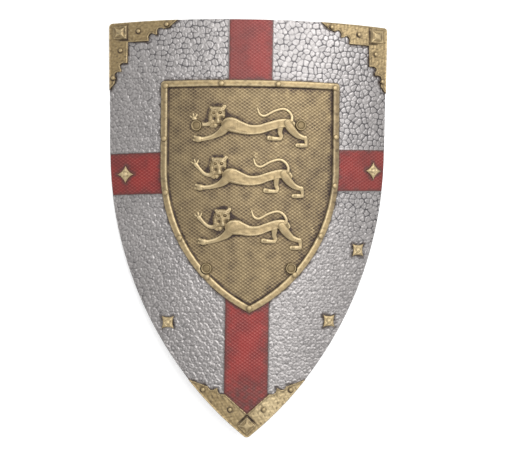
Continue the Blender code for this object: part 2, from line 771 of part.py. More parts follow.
def add_block(piece, place, turn):
    """Join a square block with a four-pointed star on it to a mount."""
    centre = Vector(place)
    reach = BLOCK_SIZE / math.sqrt(2)
    diagonal = turn + math.pi / 4
    angles = [diagonal + quarter * math.pi / 2 for quarter in range(4)]
    square = [tuple(centre + Vector((math.cos(angle), math.sin(angle))) * reach) for angle in angles]
    block = flat_piece("block", square, 2 * CLEARANCE, BLOCK_HEIGHT)
    star = star_outline(BLOCK_STAR_RADIUS, BLOCK_STAR_WAIST, diagonal)
    star = [tuple(centre + Vector(point)) for point in star]
    relief = flat_piece("relief", star, 3 * CLEARANCE, BLOCK_HEIGHT + CLEARANCE)
    raise_point(relief, BLOCK_STAR_RISE)
    combine(block, relief, "UNION")
    combine(piece, block, "UNION")


def make_corner_mount(name, side):
    """Corner mount with two cusped arms and a star block, on the side with the given sign."""
    corner = Vector((SHIELD_HALF_TOP, SHIELD_TOP - SHIELD_ARCH))
    edge = notched_edge(CORNER_EDGE)
    top_arm = [(corner.x - along, corner.y - across) for along, across in edge]
    side_arm = [(corner.x - across, corner.y - along) for along, across in edge]
    outside = [(corner.x + MOUNT_OVERHANG, corner.y + MOUNT_OVERHANG)]
    outline = top_arm + list(reversed(side_arm[:-1])) + outside
    piece = cropped_mount(name, [(side * x, y) for x, y in outline])
    add_block(piece, (side * CORNER_BLOCK[0], CORNER_BLOCK[1]), 0)
    drill(piece, [(side * x, y) for x, y in in_metres(CORNER_RIVETS)], HOLE_RADIUS, -RIM_HEIGHT)
    bow(piece)
    return piece


def make_chape():
    """Chape over the tip, with a notched V edge and a star block set on its point."""
    edge = notched_edge(CHAPE_EDGE)
    below = SHIELD_TIP - MOUNT_OVERHANG
    outside = [(-edge[0][0], below), (edge[0][0], below)]
    piece = cropped_mount("chape", edge + mirrored(edge[:-1]) + outside)
    add_block(piece, CHAPE_BLOCK, math.pi / 4)
    drill(piece, both_sides(in_metres(CHAPE_RIVETS)), HOLE_RADIUS, -RIM_HEIGHT)
    bow(piece)
    return piece


def placed(name, mesh, x, y, h, spin=0.0):
    """A fixing that shares its mesh with its like, set on the face."""
    piece = bpy.data.objects.new(name, mesh)
    bpy.context.scene.collection.objects.link(piece)
    seat(piece, x, y, h, spin)
    return piece


def make_rivets():
    """Every rivet, through the rim, the corner mounts and the chape."""
    rim_seat = RIM_HEIGHT + CLEARANCE
    mount_seat = MOUNT_HEIGHT + CLEARANCE
    rim = rim_rivet_mesh(rim_seat)
    small = small_rivet_mesh(mount_seat)
    rivets = [placed(f"rim_rivet_{number:02d}", rim, x, y, rim_seat)
              for number, (x, y) in enumerate(rim_rivet_places(), 1)]
    for number, (x, y) in enumerate(in_metres(CORNER_RIVETS), 1):
        rivets.append(placed(f"corner_rivet_left_{number}", small, -x, y, mount_seat))
        rivets.append(placed(f"corner_rivet_right_{number}", small, x, y, mount_seat))
    for number, (x, y) in enumerate(both_sides(in_metres(CHAPE_RIVETS)), 1):
        rivets.append(placed(f"chape_rivet_{number}", small, x, y, mount_seat))
    return rivets


def make_studs():
    """The four large studs in the ground of the escutcheon."""
    stud_seat = GROUND_HEIGHT + CLEARANCE
    mesh = stud_mesh(stud_seat)
    return [placed(name, mesh, x * MM, y * MM, stud_seat) for name, (x, y) in STUDS.items()]


def make_stars():
    """The free stars on the cross and on the hammered field."""
    mesh = star_mesh()
    stars = []
    for name, (x, y, turn) in STARS.items():
        stars.append(placed(name, mesh, x * MM, y * MM, CLEARANCE, math.radians(turn)))
    return stars


def main():
    """Build the shield in a collection of its own."""
    clear_scene()
    plate = make_plate()
    castings = [make_escutcheon(), make_corner_mount("corner_mount_left", -1),
                make_corner_mount("corner_mount_right", 1), make_chape()]
    fixings = make_stars() + make_studs() + make_rivets()
    shield = bpy.data.collections.new("heater_shield")
    bpy.context.scene.collection.children.link(shield)
    plate.data.materials.append(hammered_steel())
    enamel_cross(plate)
    brass = aged_brass()
    for piece in castings + fixings:
        if not piece.data.materials:
            piece.data.materials.append(brass)
    for piece in [plate, *castings, *fixings]:
        shield.objects.link(piece)
        bpy.context.scene.collection.objects.unlink(piece)


main()
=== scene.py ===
"""Heater shield of hammered steel with a red enamelled cross, a cast escutcheon and brass mounts.

Each sheet and casting is drawn flat, in millimetres, with x and y in the plan of the shield and a
height over its face. Its surface is a dense web of triangles that follows a height at every
point, and the whole is then bowed. Round fixings and stars are made upright and set on the bow.
"""

import json
import math

import bpy
import numpy as np
from bpy.props import FloatProperty, FloatVectorProperty, PointerProperty
from mathutils import Matrix, Vector
from mathutils.geometry import delaunay_2d_cdt

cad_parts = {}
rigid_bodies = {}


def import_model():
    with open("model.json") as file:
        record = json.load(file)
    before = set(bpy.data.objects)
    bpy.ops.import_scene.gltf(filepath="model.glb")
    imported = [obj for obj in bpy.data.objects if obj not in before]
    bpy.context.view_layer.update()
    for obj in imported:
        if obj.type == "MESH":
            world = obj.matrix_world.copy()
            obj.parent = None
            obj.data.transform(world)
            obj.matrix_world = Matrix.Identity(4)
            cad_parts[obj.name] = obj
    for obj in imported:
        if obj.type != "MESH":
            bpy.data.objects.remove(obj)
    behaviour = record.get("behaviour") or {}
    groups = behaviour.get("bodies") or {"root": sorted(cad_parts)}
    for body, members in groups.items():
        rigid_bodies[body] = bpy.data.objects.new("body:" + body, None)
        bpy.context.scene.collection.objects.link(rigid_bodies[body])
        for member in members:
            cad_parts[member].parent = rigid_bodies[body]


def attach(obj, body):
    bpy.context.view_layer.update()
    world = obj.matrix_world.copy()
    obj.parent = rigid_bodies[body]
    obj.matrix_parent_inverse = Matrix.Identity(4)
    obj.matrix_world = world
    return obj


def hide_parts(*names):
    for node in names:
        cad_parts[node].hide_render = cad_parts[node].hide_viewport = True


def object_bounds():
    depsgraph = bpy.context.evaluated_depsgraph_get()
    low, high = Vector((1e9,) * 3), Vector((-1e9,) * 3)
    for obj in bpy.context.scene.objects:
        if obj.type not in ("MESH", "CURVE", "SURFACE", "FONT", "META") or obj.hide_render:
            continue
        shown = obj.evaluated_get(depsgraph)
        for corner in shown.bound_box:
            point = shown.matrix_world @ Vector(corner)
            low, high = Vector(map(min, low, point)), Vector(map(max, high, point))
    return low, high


bl_info = {
    "name": "Heater Shield",
    "version": (1, 0, 0),
    "blender": (4, 5, 0),
    "location": "View3D > Sidebar > Shield",
    "description": "Dresses a heater shield: hammered steel, red cross, escutcheon and mounts",
    "category": "Object",
}

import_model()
CAD_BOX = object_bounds()

MM = 0.001

# Bow and outline of the shield, its plate and its sunk cross
BOW_RADIUS = 535.0
SHIELD_TOP = 299.85
SHIELD_TIP = -301.1
SHIELD_HALF_TOP = 204.0
SHIELD_HALF_WAIST = 201.5
SHIELD_WAIST = 110.0
SHIELD_ARC_HEIGHT = 117.0
SHIELD_ARCH = 3.0
SHIELD_CORNER_RADIUS = 5.0
SHIELD_TIP_RADIUS = 6.0
SHIELD_SIDE_STEPS = 44
SHIELD_TOP_STEPS = 24
SHIELD_BOX = ((-SHIELD_HALF_TOP, SHIELD_TIP), (SHIELD_HALF_TOP, SHIELD_TOP))
PLATE_THICKNESS = 2.4
CREST = BOW_RADIUS - math.sqrt(BOW_RADIUS ** 2 - SHIELD_HALF_TOP ** 2) * (
    1 - PLATE_THICKNESS / BOW_RADIUS)
CROSS_DEPTH = 0.8
CROSS_WALL = 0.35
STEM_HALF_WIDTH = 32.0
STEM_LEAN = math.radians(0.42)
ARM_BOTTOM = 51.0
ARM_TOP = 112.0
ARM_RISE = math.radians(1.45)
CROSS_REACH = 330.0
PANEL_START = 60.0
PANEL_GAP = 0.25
PANEL_EDGE_GAP = 0.4
PANEL_TUCK = 3.0
PANEL_CLEAR = 0.6
PANEL_TOP = -0.72

# Escutcheon
ESCUTCHEON_CENTRE = 2.2
ESCUTCHEON_TOP = 212.0
ESCUTCHEON_TIP = -121.5
ESCUTCHEON_HALF_WIDTH = 128.0
ESCUTCHEON_WAIST = 85.0
ESCUTCHEON_ARCH = 1.4
ESCUTCHEON_CORNER_RADIUS = 5.0
ESCUTCHEON_SIDE_STEPS = 36
ESCUTCHEON_TOP_STEPS = 16
RIM_WIDTH = 10.0
RIM_HEIGHT = 6.0
RIM_INSETS = (0.0, 0.4, 1.0, 1.9, 4.0, 6.2, 7.9, 8.5, 9.0, 9.9, 10.5)
RIM_HEIGHTS = (4.5, 5.15, 5.65, 5.9, 6.0, 6.0, 5.9, 5.6, 4.9, 2.75, 2.35)
GROUND_HEIGHT = 2.5
GROUND_FLOOR = 2.2
GROUND_RIDGE = 0.45
RIDGE_HALF_SHARE = 0.3

# Corner mounts, chape and their star blocks. The edges hold knots: how far along and across the
# corner or the tip, and the depth of the round bite that follows. The painted highlights, pools of
# light painted on the brass, hold a place, a reach and a share.
MOUNT_INSETS = (0.0, 0.35, 0.9, 1.3, 1.8)
MOUNT_HEIGHTS = (1.7, 2.25, 2.4, 2.2, 1.8)
MOUNT_OVERHANG = 6.0
BLOCK_HALF = 9.5
BLOCK_HEIGHT = 3.7
BLOCK_STAR_RADIUS = 11.0
BLOCK_STAR_WAIST = 5.4
BLOCK_STAR_RISE = 1.7
BLOCK_GAP_DEPTH = 1.1
BLOCK_GAP_LEAN = (1.0, 0.35)
CORNER_BLOCK = (187.5, 283.0)
CORNER_SEEDS = {-1: 40, 1: 42}
CHAPE_BLOCK = (0.0, -283.0)
CHAPE_SEED = 45
PAINTED_HIGHLIGHTS = (
    ((30.0, -254.0), 32.0, 0.9), ((58.0, -236.0), 30.0, 0.7), ((165.0, 278.0), 60.0, 0.25),
)
CORNER_EDGE = (
    (105, -6, 0), (88, 8.5, 0), (80, 10.5, 3.6), (70.5, 14, 0), (71, 18.5, 0),
    (67, 18.5, 3.6), (58, 21.5, 0), (58.5, 27.5, 0), (28, 28, 0),
)
CHAPE_EDGE = (
    (88, -216, 0), (56, -227, 3.6), (45, -229.8, 0), (42.5, -229, 4.2), (31.5, -238, 0),
    (0, -266, 0),
)

# Free stars, studs and rivets
STAR_RADIUS = 12.6
STAR_WAIST = 7.2
STAR_EDGE = 0.9
STAR_SLOPE = 0.42
STAR_BOSS_RADIUS = 3.0
STAR_BOSS_HEIGHT = 2.9
STUD_RADIUS = 8.0
STUD_HEIGHT = 3.0
STUD_POCKET = 8.6
STUD_POCKET_FLOOR = 2.5
STUD_SIDES = 48
STUD_WEAR_KEENNESS = 14
STUD_DULLNESS = 0.62
STUD_DROPS = (
    (0, 0.5), (3.6, 0.5), (4.3, 0.6), (4.9, 1.0), (5.5, 0.8), (6.1, 0.2), (6.7, 0), (7.2, 0.25),
    (7.7, 1.1), (STUD_RADIUS, 2.0), (STUD_RADIUS, STUD_HEIGHT),
)
RIM_RIVET_RADIUS = 4.0
RIM_RIVET_HEIGHT = 1.75
RIM_RIVET_SIDES = 28
SMALL_RIVET_RADIUS = 3.0
SMALL_RIVET_HEIGHT = 1.6
SMALL_RIVET_SIDES = 20
SHANK_RADIUS = 1.4
TAIL_RADIUS = 2.8
TAIL_HEIGHT = 1.3
CLEARANCE = 0.3
DOME_WEAR = 0.6
RIM_RIVET_INSET = 5.4
RIM_CORNER_INSET = 7.0
RIM_TOP_RIVETS = (-39.8, 40.8)
RIM_LEFT_HEIGHTS = (127.5, 50.0, -15.0, -70.5)
RIM_RIGHT_HEIGHTS = (132.5, 62.0, -10.5, -66.5)
RIM_TIP_RIVET = -114.5
CORNER_RIVETS = ((119, 292.5), (160, 284), (186, 257), (196.8, 217.5))
CHAPE_RIVETS = ((24, -259.6), (62.7, -231.5))
STUDS = {
    "stud_upper_left": (-75.1, 146.2),
    "stud_upper_right": (74.0, 148.3),
    "stud_lower_left": (-59.2, -58.4),
    "stud_lower_right": (61.2, -57.5),
}
STARS = {
    "star_upper_left": (-177.9, 76.5, 0),
    "star_upper_right": (184.0, 85.5, 0),
    "star_middle_right": (161.0, -30.5, 45),
    "star_lower_left": (-114.3, -136.2, 45),
    "star_lower_right": (118.0, -133.3, 45),
}

# Lions, each drawn about the middle of its head. The trunk is its length, and the others move
# the raised paw, the lower foreleg, the tucked foot and the back. The lion's box starts at its
# head and ends past its trunk.
LIONS = (
    {"head": (-45.3, 161.0), "trunk": 106.8, "paw_drop": 7.0},
    {"head": (-42.7, 88.1), "trunk": 99.3, "paw_drop": 0.0, "leg_rise": 3.6, "foot_drop": 2.6},
    {"head": (-37.3, 13.7), "trunk": 91.6, "paw_drop": 1.5, "back_rise": 2.3},
)
LION_SINK = 0.4
LION_BOX = ((-45, -48), (28, 22))
RUMP_DROP = 3.2
HEAD_MIDDLE = (0, -2)
HEAD_BOX = (13.5, 18)
# Shift of the painted shadow round the lions.
PAINTED_SHADOW_SHIFT = (1.2, -1.0)
# Bands of painted highlight along the lions' backs and a bright line under their bellies.
BACK_BAND = (0.6, 3.4)
BELLY_LINE = (0.3, 1.5)

# Hammer marks, and the smaller chips over them. The first is the way in which the marks rise
# and which the light favours; the shares are of a mark's own width.
SLANT_WAY = (0.75, 0.66)
MARK_SEED = 7
MARK_SHIFT_SHARE = 0.37
MARK_BORDER_SHARE = 0.25
MARK_SINK = 0.25
MARK_SOFTNESS = 0.5
CHIP_SEED = 8
CHIP_SHARE = 0.52
CHIP_HEIGHT = 0.12
CHIP_LINE = 0.9
CHIP_LINE_DEPTH = 0.2
RIPPLE_HEIGHT = 0.1

# Gentle swells of the surfaces, washes, painted shade and wear: width of a wave in millimetres,
# and seed
WAVES = 9
SWELLS = {
    "drift_across": (40, 11), "drift_along": (40, 12), "brass_shadow": (16, 13),
    "ripple": (4.4, 14), "groove": (15, 15), "steel_wash_and_shade": (14, 47),
    "panel": (26, 21), "panel_border": (11, 22),
    "rim": (14, 31), "rim_fine": (5, 36), "rim_tarnish_and_shade": (9, 46), "ground": (22, 32),
    "ground_pits": (26, 33), "ground_stain_and_shade": (20, 34), "rim_shade": (15, 51),
    "mane": (7, 41), "face": (3.6, 42), "hide": (6.5, 43), "fur": (11, 45), "painted_shadow": (18, 50),
    "mount": (9, 0), "mount_fine": (4.5, 8), "mount_patches": (12, 5), "mount_mottle": (6, 6),
    "mount_wear": (5, 7), "star": (4, 49), "star_mottle": (5, 48),
}

# Pitches of the surface webs, and steps of small arcs and searches
FIELD_PITCH = 1.16
HIDDEN_PITCH = 6.0
HIDDEN_LAP = 2.0
LINE_CLEAR = 0.8
EDGE_PITCH = 1.6
RING_KEPT_SHARE = 0.93
MOUNT_PITCH = 0.9
STAR_PITCH = 0.55
STAR_EDGE_PITCH = 0.8
BACK_PITCH = 14.0
LION_MARGIN = 0.6
POCKET_CLEAR = 0.6
POCKET_WALL = 0.15
POCKET_SIDES = 72
GROUND_STEPS = 4
LION_STEPS = 7
HEAD_STEPS = 10
ARC_STEPS = 6
SNAP_ROUNDS = 6
BLUR_ROUNDS = 3
NEARNESS = 1e-4
CREASE_ANGLE = math.radians(48)

# Floor and lights, in metres: place, aim, width and height of each light
FLOOR_REACH = 6.0
FLOOR_GLOW = 0.3
KEY_LIGHT = ((0.4, 0.62, 2.5), (0.03, 0.03, 0), 2.2, 1.8)
SIDE_LIGHT = ((1.0, 1.05, 1.5), (0, 0, 0), 0.7, 0.7)

# Camera, fitted in the plan of the shield and measured from the crest of its face
CAMERA_TURN = math.radians(-2.5)
CAMERA_RISE = math.radians(-0.44)
CAMERA_ROLL = math.radians(0.47)
CAMERA_DISTANCE = 1600.0
CAMERA_TARGET = (5.98, -0.63)
FOCAL_IN_WIDTHS = 1116.74 / 505
SENSOR_WIDTH = 36.0


def on_bow(flat):
    """Bow points of x, y and height over the face, and give them in metres."""
    x, y, h = np.asarray(flat, float).T
    scale = (BOW_RADIUS + h) / BOW_RADIUS
    z = np.sqrt(BOW_RADIUS ** 2 - x ** 2) * scale - BOW_RADIUS + CREST
    return np.stack([x * scale, y, z], axis=1) * MM


def upright(flat):
    """Leave points as they are, in metres, for a piece that is set on the bow afterwards."""
    return np.asarray(flat, float) * MM


def seat(piece, x, y, h, spin=0.0):
    """Set a piece on the bowed face, square to it and turned by spin about its own axis."""
    piece.location = on_bow([(x, y, h)])[0]
    lean = Matrix.Rotation(math.asin(x / BOW_RADIUS), 4, "Y")
    piece.rotation_euler = (lean @ Matrix.Rotation(spin, 4, "Z")).to_euler()


def eased(value, low, high):
    """Smooth step from 0 at low to 1 at high."""
    share = np.clip((value - low) / (high - low), 0, 1)
    return share * share * (3 - 2 * share)


def hump(value, middle, spread):
    """Soft bump of height 1 around a middle value."""
    return np.exp(-((value - middle) / spread) ** 2)


def evenly(loop, pitch):
    """Points along a closed loop of corners, no further apart than pitch."""
    loop = np.asarray(loop, float)
    path = []
    for start, end in zip(loop, np.roll(loop, -1, axis=0)):
        count = max(1, math.ceil(np.linalg.norm(end - start) / pitch))
        path += [start + (end - start) * step / count for step in range(count)]
    return np.array(path)


def shrunk(loop, inset):
    """A closed loop moved inward by an inset."""
    loop = np.asarray(loop, float)
    run = np.roll(loop, -1, axis=0) - loop
    run /= np.linalg.norm(run, axis=1)[:, None]
    before = np.roll(run, 1, axis=0)
    inward = np.stack([-(run + before)[:, 1], (run + before)[:, 0]], axis=1)
    length = np.linalg.norm(inward, axis=1)
    reach = 2 * inset / np.maximum(length, 0.5) ** 2
    return loop + inward * reach[:, None]


def ring_inside(loop, inset):
    """Points along a loop moved inward, without those that its corners fold over."""
    ring = shrunk(evenly(loop, EDGE_PITCH), inset)
    return ring[inset_of(ring, loop) > RING_KEPT_SHARE * inset]


def inset_of(points, loop):
    """How far inside a closed loop each point lies, negative outside."""
    nearest = np.full(len(points), np.inf)
    within = np.zeros(len(points), bool)
    x, y = points[:, 0], points[:, 1]
    for start, end in zip(loop, np.roll(loop, -1, axis=0)):
        run = end - start
        across, along = x - start[0], y - start[1]
        share = np.clip((across * run[0] + along * run[1]) / (run @ run), 0, 1)
        gap = (across - share * run[0]) ** 2 + (along - share * run[1]) ** 2
        np.minimum(nearest, gap, out=nearest)
        if run[1]:
            crosses = (start[1] > y) != (end[1] > y)
            within ^= crosses & (x < start[0] + along * run[0] / run[1])
    return np.where(within, 1, -1) * np.sqrt(nearest)


def web(low, high, pitch):
    """Points of a triangular web over a rectangle."""
    rise = pitch * math.sqrt(3) / 2
    rows = np.arange(low[1], high[1] + rise, rise)
    columns = np.arange(low[0], high[0] + pitch, pitch)
    x, y = np.meshgrid(columns, rows)
    x = x + (np.arange(len(rows)) % 2)[:, None] * pitch / 2
    return np.stack([x.ravel(), y.ravel()], axis=1)


def diamond_web(low, high, across, along, steps):
    """Points of a web whose lines run along the ridges of a diamond pattern."""
    step = np.array([across, along]) / (2 * steps)
    first = np.floor(np.asarray(low) / step)
    last = np.ceil(np.asarray(high) / step)
    x, y = np.meshgrid(np.arange(first[0], last[0] + 1), np.arange(first[1], last[1] + 1))
    kept = (x + y) % 2 == 0
    return np.stack([x[kept], y[kept]], axis=1) * step


def snapped(points, steps, inside):
    """Points, with those within half a step of an outline moved onto it."""
    own = inside(points)
    moved = points.copy()
    nearest = np.full(len(points), np.inf)
    for step in (*steps, *(-way for way in steps)):
        crossed = np.flatnonzero(inside(points + step / 2) != own)
        low, high = np.zeros(len(crossed)), np.full(len(crossed), 0.5)
        for _ in range(SNAP_ROUNDS):
            middle = (low + high) / 2
            same = inside(points[crossed] + middle[:, None] * step) == own[crossed]
            low, high = np.where(same, middle, low), np.where(same, high, middle)
        closer = high < nearest[crossed]
        chosen = crossed[closer]
        moved[chosen] = points[chosen] + high[closer, None] * step
        nearest[chosen] = high[closer]
    return moved


def meshed(corners, edges):
    """Points and triangles of a web through corners and edges."""
    corners = [Vector(corner) for corner in corners.tolist()]
    made = delaunay_2d_cdt(corners, edges, [], 1, NEARNESS)
    return np.array([tuple(spot) for spot in made[0]]), np.array(made[2])


def triangles(points, loops):
    """Triangles within closed loops of points, through all the points."""
    edges = []
    start = 0
    for loop in loops:
        count = len(loop)
        edges += [(start + step, start + (step + 1) % count) for step in range(count)]
        start += count
    return meshed(np.vstack([*loops, points]), edges)


def border_of(faces):
    """Directed edges that only one face has."""
    edges = np.vstack([faces[:, [0, 1]], faces[:, [1, 2]], faces[:, [2, 0]]])
    size = faces.max() + 1
    forward = edges[:, 0] * size + edges[:, 1]
    backward = edges[:, 1] * size + edges[:, 0]
    return edges[~np.isin(forward, backward)]


def plain_back(border, edges, within):
    """Points and triangles of a back that spans the border of a sheet."""
    inner = web(border.min(axis=0), border.max(axis=0), BACK_PITCH)
    inner = inner[within(inner)]
    clear = np.full(len(inner), True)
    for number, spot in enumerate(inner):
        clear[number] = np.linalg.norm(border - spot, axis=1).min() > BACK_PITCH / 4
    return meshed(np.vstack([border, inner[clear]]), edges.tolist())


def finished_mesh(name, verts, polygons, traits):
    """A smooth mesh with its creases, and with surface traits for its finish."""
    mesh = bpy.data.meshes.new(name)
    mesh.from_pydata(verts.tolist(), [], polygons)
    for trait_name, values in traits.items():
        layer = mesh.attributes.new(trait_name, "FLOAT", "POINT")
        layer.data.foreach_set("value", values.astype(np.float32))
    mesh.shade_smooth()
    mesh.set_sharp_from_angle(angle=CREASE_ANGLE)
    return mesh


def sheet_mesh(name, loops, points, top, low, keep=None, shape=on_bow):
    """A closed sheet whose top follows top(points), which gives heights and surface traits.

    The first loop is its outline and the others cut across it; keep says which spots stay.
    """
    spots, faces = triangles(points, loops)
    if keep is not None:
        faces = faces[keep(spots[faces].mean(axis=1))]
    used, faces = np.unique(faces, return_inverse=True)
    faces = faces.reshape(-1, 3)
    spots = spots[used]
    heights, traits = top(spots)
    rim = border_of(faces)
    around, rim_places = np.unique(rim, return_inverse=True)
    rim_places = rim_places.reshape(-1, 2)
    within = keep or (lambda inner: inset_of(inner, loops[0]) > 0)
    back, back_faces = plain_back(spots[around], rim_places, within)
    count = len(spots)
    verts = np.vstack([
        shape(np.column_stack([spots, heights])),
        shape(np.column_stack([back, np.full(len(back), low)])),
    ])
    below = rim_places + count
    walls = np.column_stack([rim[:, 1], rim[:, 0], below[:, 0], below[:, 1]])
    polygons = faces.tolist() + (back_faces[:, ::-1] + count).tolist() + walls.tolist()
    blank = np.zeros(len(back))
    traits = {key: np.append(values, blank) for key, values in traits.items()}
    return finished_mesh(name, verts, polygons, traits)


def turned_mesh(name, profile, sides, keenness=2):
    """A mesh turned about its own axis from a profile that runs down its outer side.

    A higher keenness keeps the wear nearer to its highest ring.
    """
    profile = np.asarray(profile, float)
    turns = np.arange(sides) * 2 * math.pi / sides
    rings = [(0.0, 0.0, profile[0, 1])]
    for radius, height in profile[1:-1]:
        rings += [(radius * math.cos(turn), radius * math.sin(turn), height) for turn in turns]
    rings.append((0.0, 0.0, profile[-1, 1]))
    last = len(rings) - 1
    faces = []
    for side in range(sides):
        onward = (side + 1) % sides
        faces.append((0, 1 + side, 1 + onward))
        for ring in range(len(profile) - 3):
            upper, lower = 1 + ring * sides, 1 + (ring + 1) * sides
            faces.append((upper + side, lower + side, lower + onward, upper + onward))
        bottom = 1 + (len(profile) - 3) * sides
        faces.append((last, bottom + onward, bottom + side))
    rings = np.array(rings)
    worn = DOME_WEAR * np.clip(rings[:, 2] / profile[:, 1].max(), 0, 1) ** keenness
    return finished_mesh(name, upright(rings), faces, {"wear_and_highlight": worn})


def shown(name, mesh, material, node=None):
    """Link a piece, give it its finish and let it ride on the shield in place of a node."""
    piece = bpy.data.objects.new(name, mesh)
    bpy.context.scene.collection.objects.link(piece)
    if not mesh.materials:
        mesh.materials.append(material)
    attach(piece, "root")
    if node:
        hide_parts(node)
    return piece


def round_corner(before, corner, after, radius):
    """Points of an arc that rounds a corner between two straight runs."""
    back = (Vector(before) - Vector(corner)).normalized()
    onward = (Vector(after) - Vector(corner)).normalized()
    half = back.angle(onward) / 2
    centre = Vector(corner) + (back + onward).normalized() * radius / math.sin(half)
    start = Vector(corner) + back * radius / math.tan(half) - centre
    end = Vector(corner) + onward * radius / math.tan(half) - centre
    shares = [step / ARC_STEPS for step in range(ARC_STEPS + 1)]
    arc = [start.lerp(end, share).normalized() * radius for share in shares]
    return [tuple(centre + spoke) for spoke in arc]


def arc_offset(half_waist, waist, tip, arc_height):
    """How far past the middle line the centre of a side arc lies."""
    drop = arc_height - tip
    lift = arc_height - waist
    return (drop ** 2 - lift ** 2 - half_waist ** 2) / (2 * half_waist)


def side_arc(half_waist, waist, tip, arc_height, count):
    """Right side of a heater outline, from its tip up to its waist."""
    offset = arc_offset(half_waist, waist, tip, arc_height)
    radius = math.hypot(offset, arc_height - tip)
    first = math.atan2(tip - arc_height, offset)
    last = math.atan2(waist - arc_height, half_waist + offset)
    turns = [first + (last - first) * step / count for step in range(count + 1)]
    return [(radius * math.cos(turn) - offset, arc_height + radius * math.sin(turn))
            for turn in turns]


def top_arch(half_top, top, arch, count):
    """Points of the arched top edge between its corners, from right to left."""
    spots = [half_top * (1 - 2 * step / count) for step in range(1, count)]
    return [(x, top - arch * (x / half_top) ** 2) for x in spots]


def mirrored(points):
    """The points of the other side, in the reverse order."""
    return [(-x, y) for x, y in reversed(points)]


def heater_outline(side, half_top, top, arch, top_steps, corner_radius, tip_radius=0.0):
    """Outline of a heater shield from its right side, its arched top and its round corners."""
    arched = top_arch(half_top, top, arch, top_steps)
    right = side[1:] + round_corner(side[-1], (half_top, top - arch), arched[0], corner_radius)
    tip = side[:1]
    if tip_radius:
        tip = round_corner((-side[1][0], side[1][1]), side[0], side[1], tip_radius)
    return np.array(tip + right + arched + mirrored(right))


def bite(start, end, depth):
    """Points between two ends along a round bite into the metal on the left."""
    run = Vector(end) - Vector(start)
    aside = Vector((-run.y, run.x)).normalized()
    shares = [step / ARC_STEPS for step in range(1, ARC_STEPS)]
    return [tuple(Vector(start) + run * share + aside * depth * 4 * share * (1 - share))
            for share in shares]


def notched_edge(knots):
    """Inner edge of a mount with its round bites."""
    edge = []
    for (along, across, depth), (next_along, next_across, _) in zip(knots, knots[1:]):
        edge.append((along, across))
        if depth:
            edge += bite((along, across), (next_along, next_across), depth)
    edge.append(knots[-1][:2])
    return edge


def corner_outline(side):
    """Drawn outline of a corner mount, before it is cropped to the shield."""
    edge = notched_edge(CORNER_EDGE)
    corner = (SHIELD_HALF_TOP, SHIELD_TOP - SHIELD_ARCH)
    top_arm = [(corner[0] - along, corner[1] - across) for along, across in edge]
    side_arm = [(corner[0] - across, corner[1] - along) for along, across in edge]
    outside = [(corner[0] + MOUNT_OVERHANG, corner[1] + MOUNT_OVERHANG)]
    outline = [(side * x, y) for x, y in top_arm + side_arm[-2::-1] + outside]
    return np.array(outline if side > 0 else outline[::-1])


def chape_outline():
    """Drawn outline of the chape, before it is cropped to the shield."""
    edge = notched_edge(CHAPE_EDGE)
    below = SHIELD_TIP - MOUNT_OVERHANG
    outside = [(-edge[0][0], below), (edge[0][0], below)]
    return np.array(edge + mirrored(edge[:-1]) + outside)


def star_outline(radius, waist, turn=0.0, count=12):
    """Outline of a four-pointed star with hollow sides."""
    outline = []
    for quarter in range(4):
        angle = turn + quarter * math.pi / 2
        tip = Vector((math.cos(angle), math.sin(angle))) * radius
        onward = Vector((-tip.y, tip.x))
        middle = (tip + onward).normalized() * (2 * waist - (tip + onward).length / 2)
        for step in range(count + 1):
            share = step / (count + 1)
            spot = tip.lerp(middle, share).lerp(middle.lerp(onward, share), share)
            outline.append(tuple(spot))
    return np.array(outline)


SHIELD_LOOP = heater_outline(
    side_arc(SHIELD_HALF_WAIST, SHIELD_WAIST, SHIELD_TIP, SHIELD_ARC_HEIGHT, SHIELD_SIDE_STEPS),
    SHIELD_HALF_TOP, SHIELD_TOP, SHIELD_ARCH, SHIELD_TOP_STEPS,
    SHIELD_CORNER_RADIUS, SHIELD_TIP_RADIUS,
)
ESCUTCHEON_LOOP = heater_outline(
    side_arc(ESCUTCHEON_HALF_WIDTH, ESCUTCHEON_WAIST, ESCUTCHEON_TIP, ESCUTCHEON_WAIST,
             ESCUTCHEON_SIDE_STEPS),
    ESCUTCHEON_HALF_WIDTH, ESCUTCHEON_TOP, ESCUTCHEON_ARCH, ESCUTCHEON_TOP_STEPS,
    ESCUTCHEON_CORNER_RADIUS,
)
ESCUTCHEON_LOOP[:, 0] += ESCUTCHEON_CENTRE
CORNER_LOOPS = {-1: corner_outline(-1), 1: corner_outline(1)}
CHAPE_LOOP = chape_outline()


def into_mount(points, loop):
    """How far inside both a mount's drawn outline and the shield each point lies."""
    return np.minimum(inset_of(points, loop), inset_of(points, SHIELD_LOOP))


def both_sides(places):
    """Places and their mirror images."""
    return [(side * x, y) for side in (-1, 1) for x, y in places]


def rim_rivet_place(side, y):
    """Place of a rivet along the middle of the rim, on the side with the given sign."""
    half = ESCUTCHEON_HALF_WIDTH
    if y >= ESCUTCHEON_WAIST:
        return ESCUTCHEON_CENTRE + side * (half - RIM_RIVET_INSET), y
    offset = arc_offset(half, ESCUTCHEON_WAIST, ESCUTCHEON_TIP, ESCUTCHEON_WAIST)
    radius = half + offset - RIM_RIVET_INSET
    reach = math.sqrt(radius ** 2 - (y - ESCUTCHEON_WAIST) ** 2) - offset
    return ESCUTCHEON_CENTRE + side * reach, y


def rim_rivet_places():
    """Places of all the rivets through the rim, from the top left round to the tip."""
    top = ESCUTCHEON_TOP - RIM_RIVET_INSET
    corner = ESCUTCHEON_HALF_WIDTH - RIM_CORNER_INSET
    corner_height = ESCUTCHEON_TOP - ESCUTCHEON_ARCH - RIM_CORNER_INSET
    places = [(ESCUTCHEON_CENTRE + side * corner, corner_height) for side in (-1, 1)]
    places += [(x, top) for x in RIM_TOP_RIVETS]
    places += [rim_rivet_place(-1, y) for y in RIM_LEFT_HEIGHTS]
    places += [rim_rivet_place(1, y) for y in RIM_RIGHT_HEIGHTS]
    places.append((ESCUTCHEON_CENTRE, RIM_TIP_RIVET))
    return places


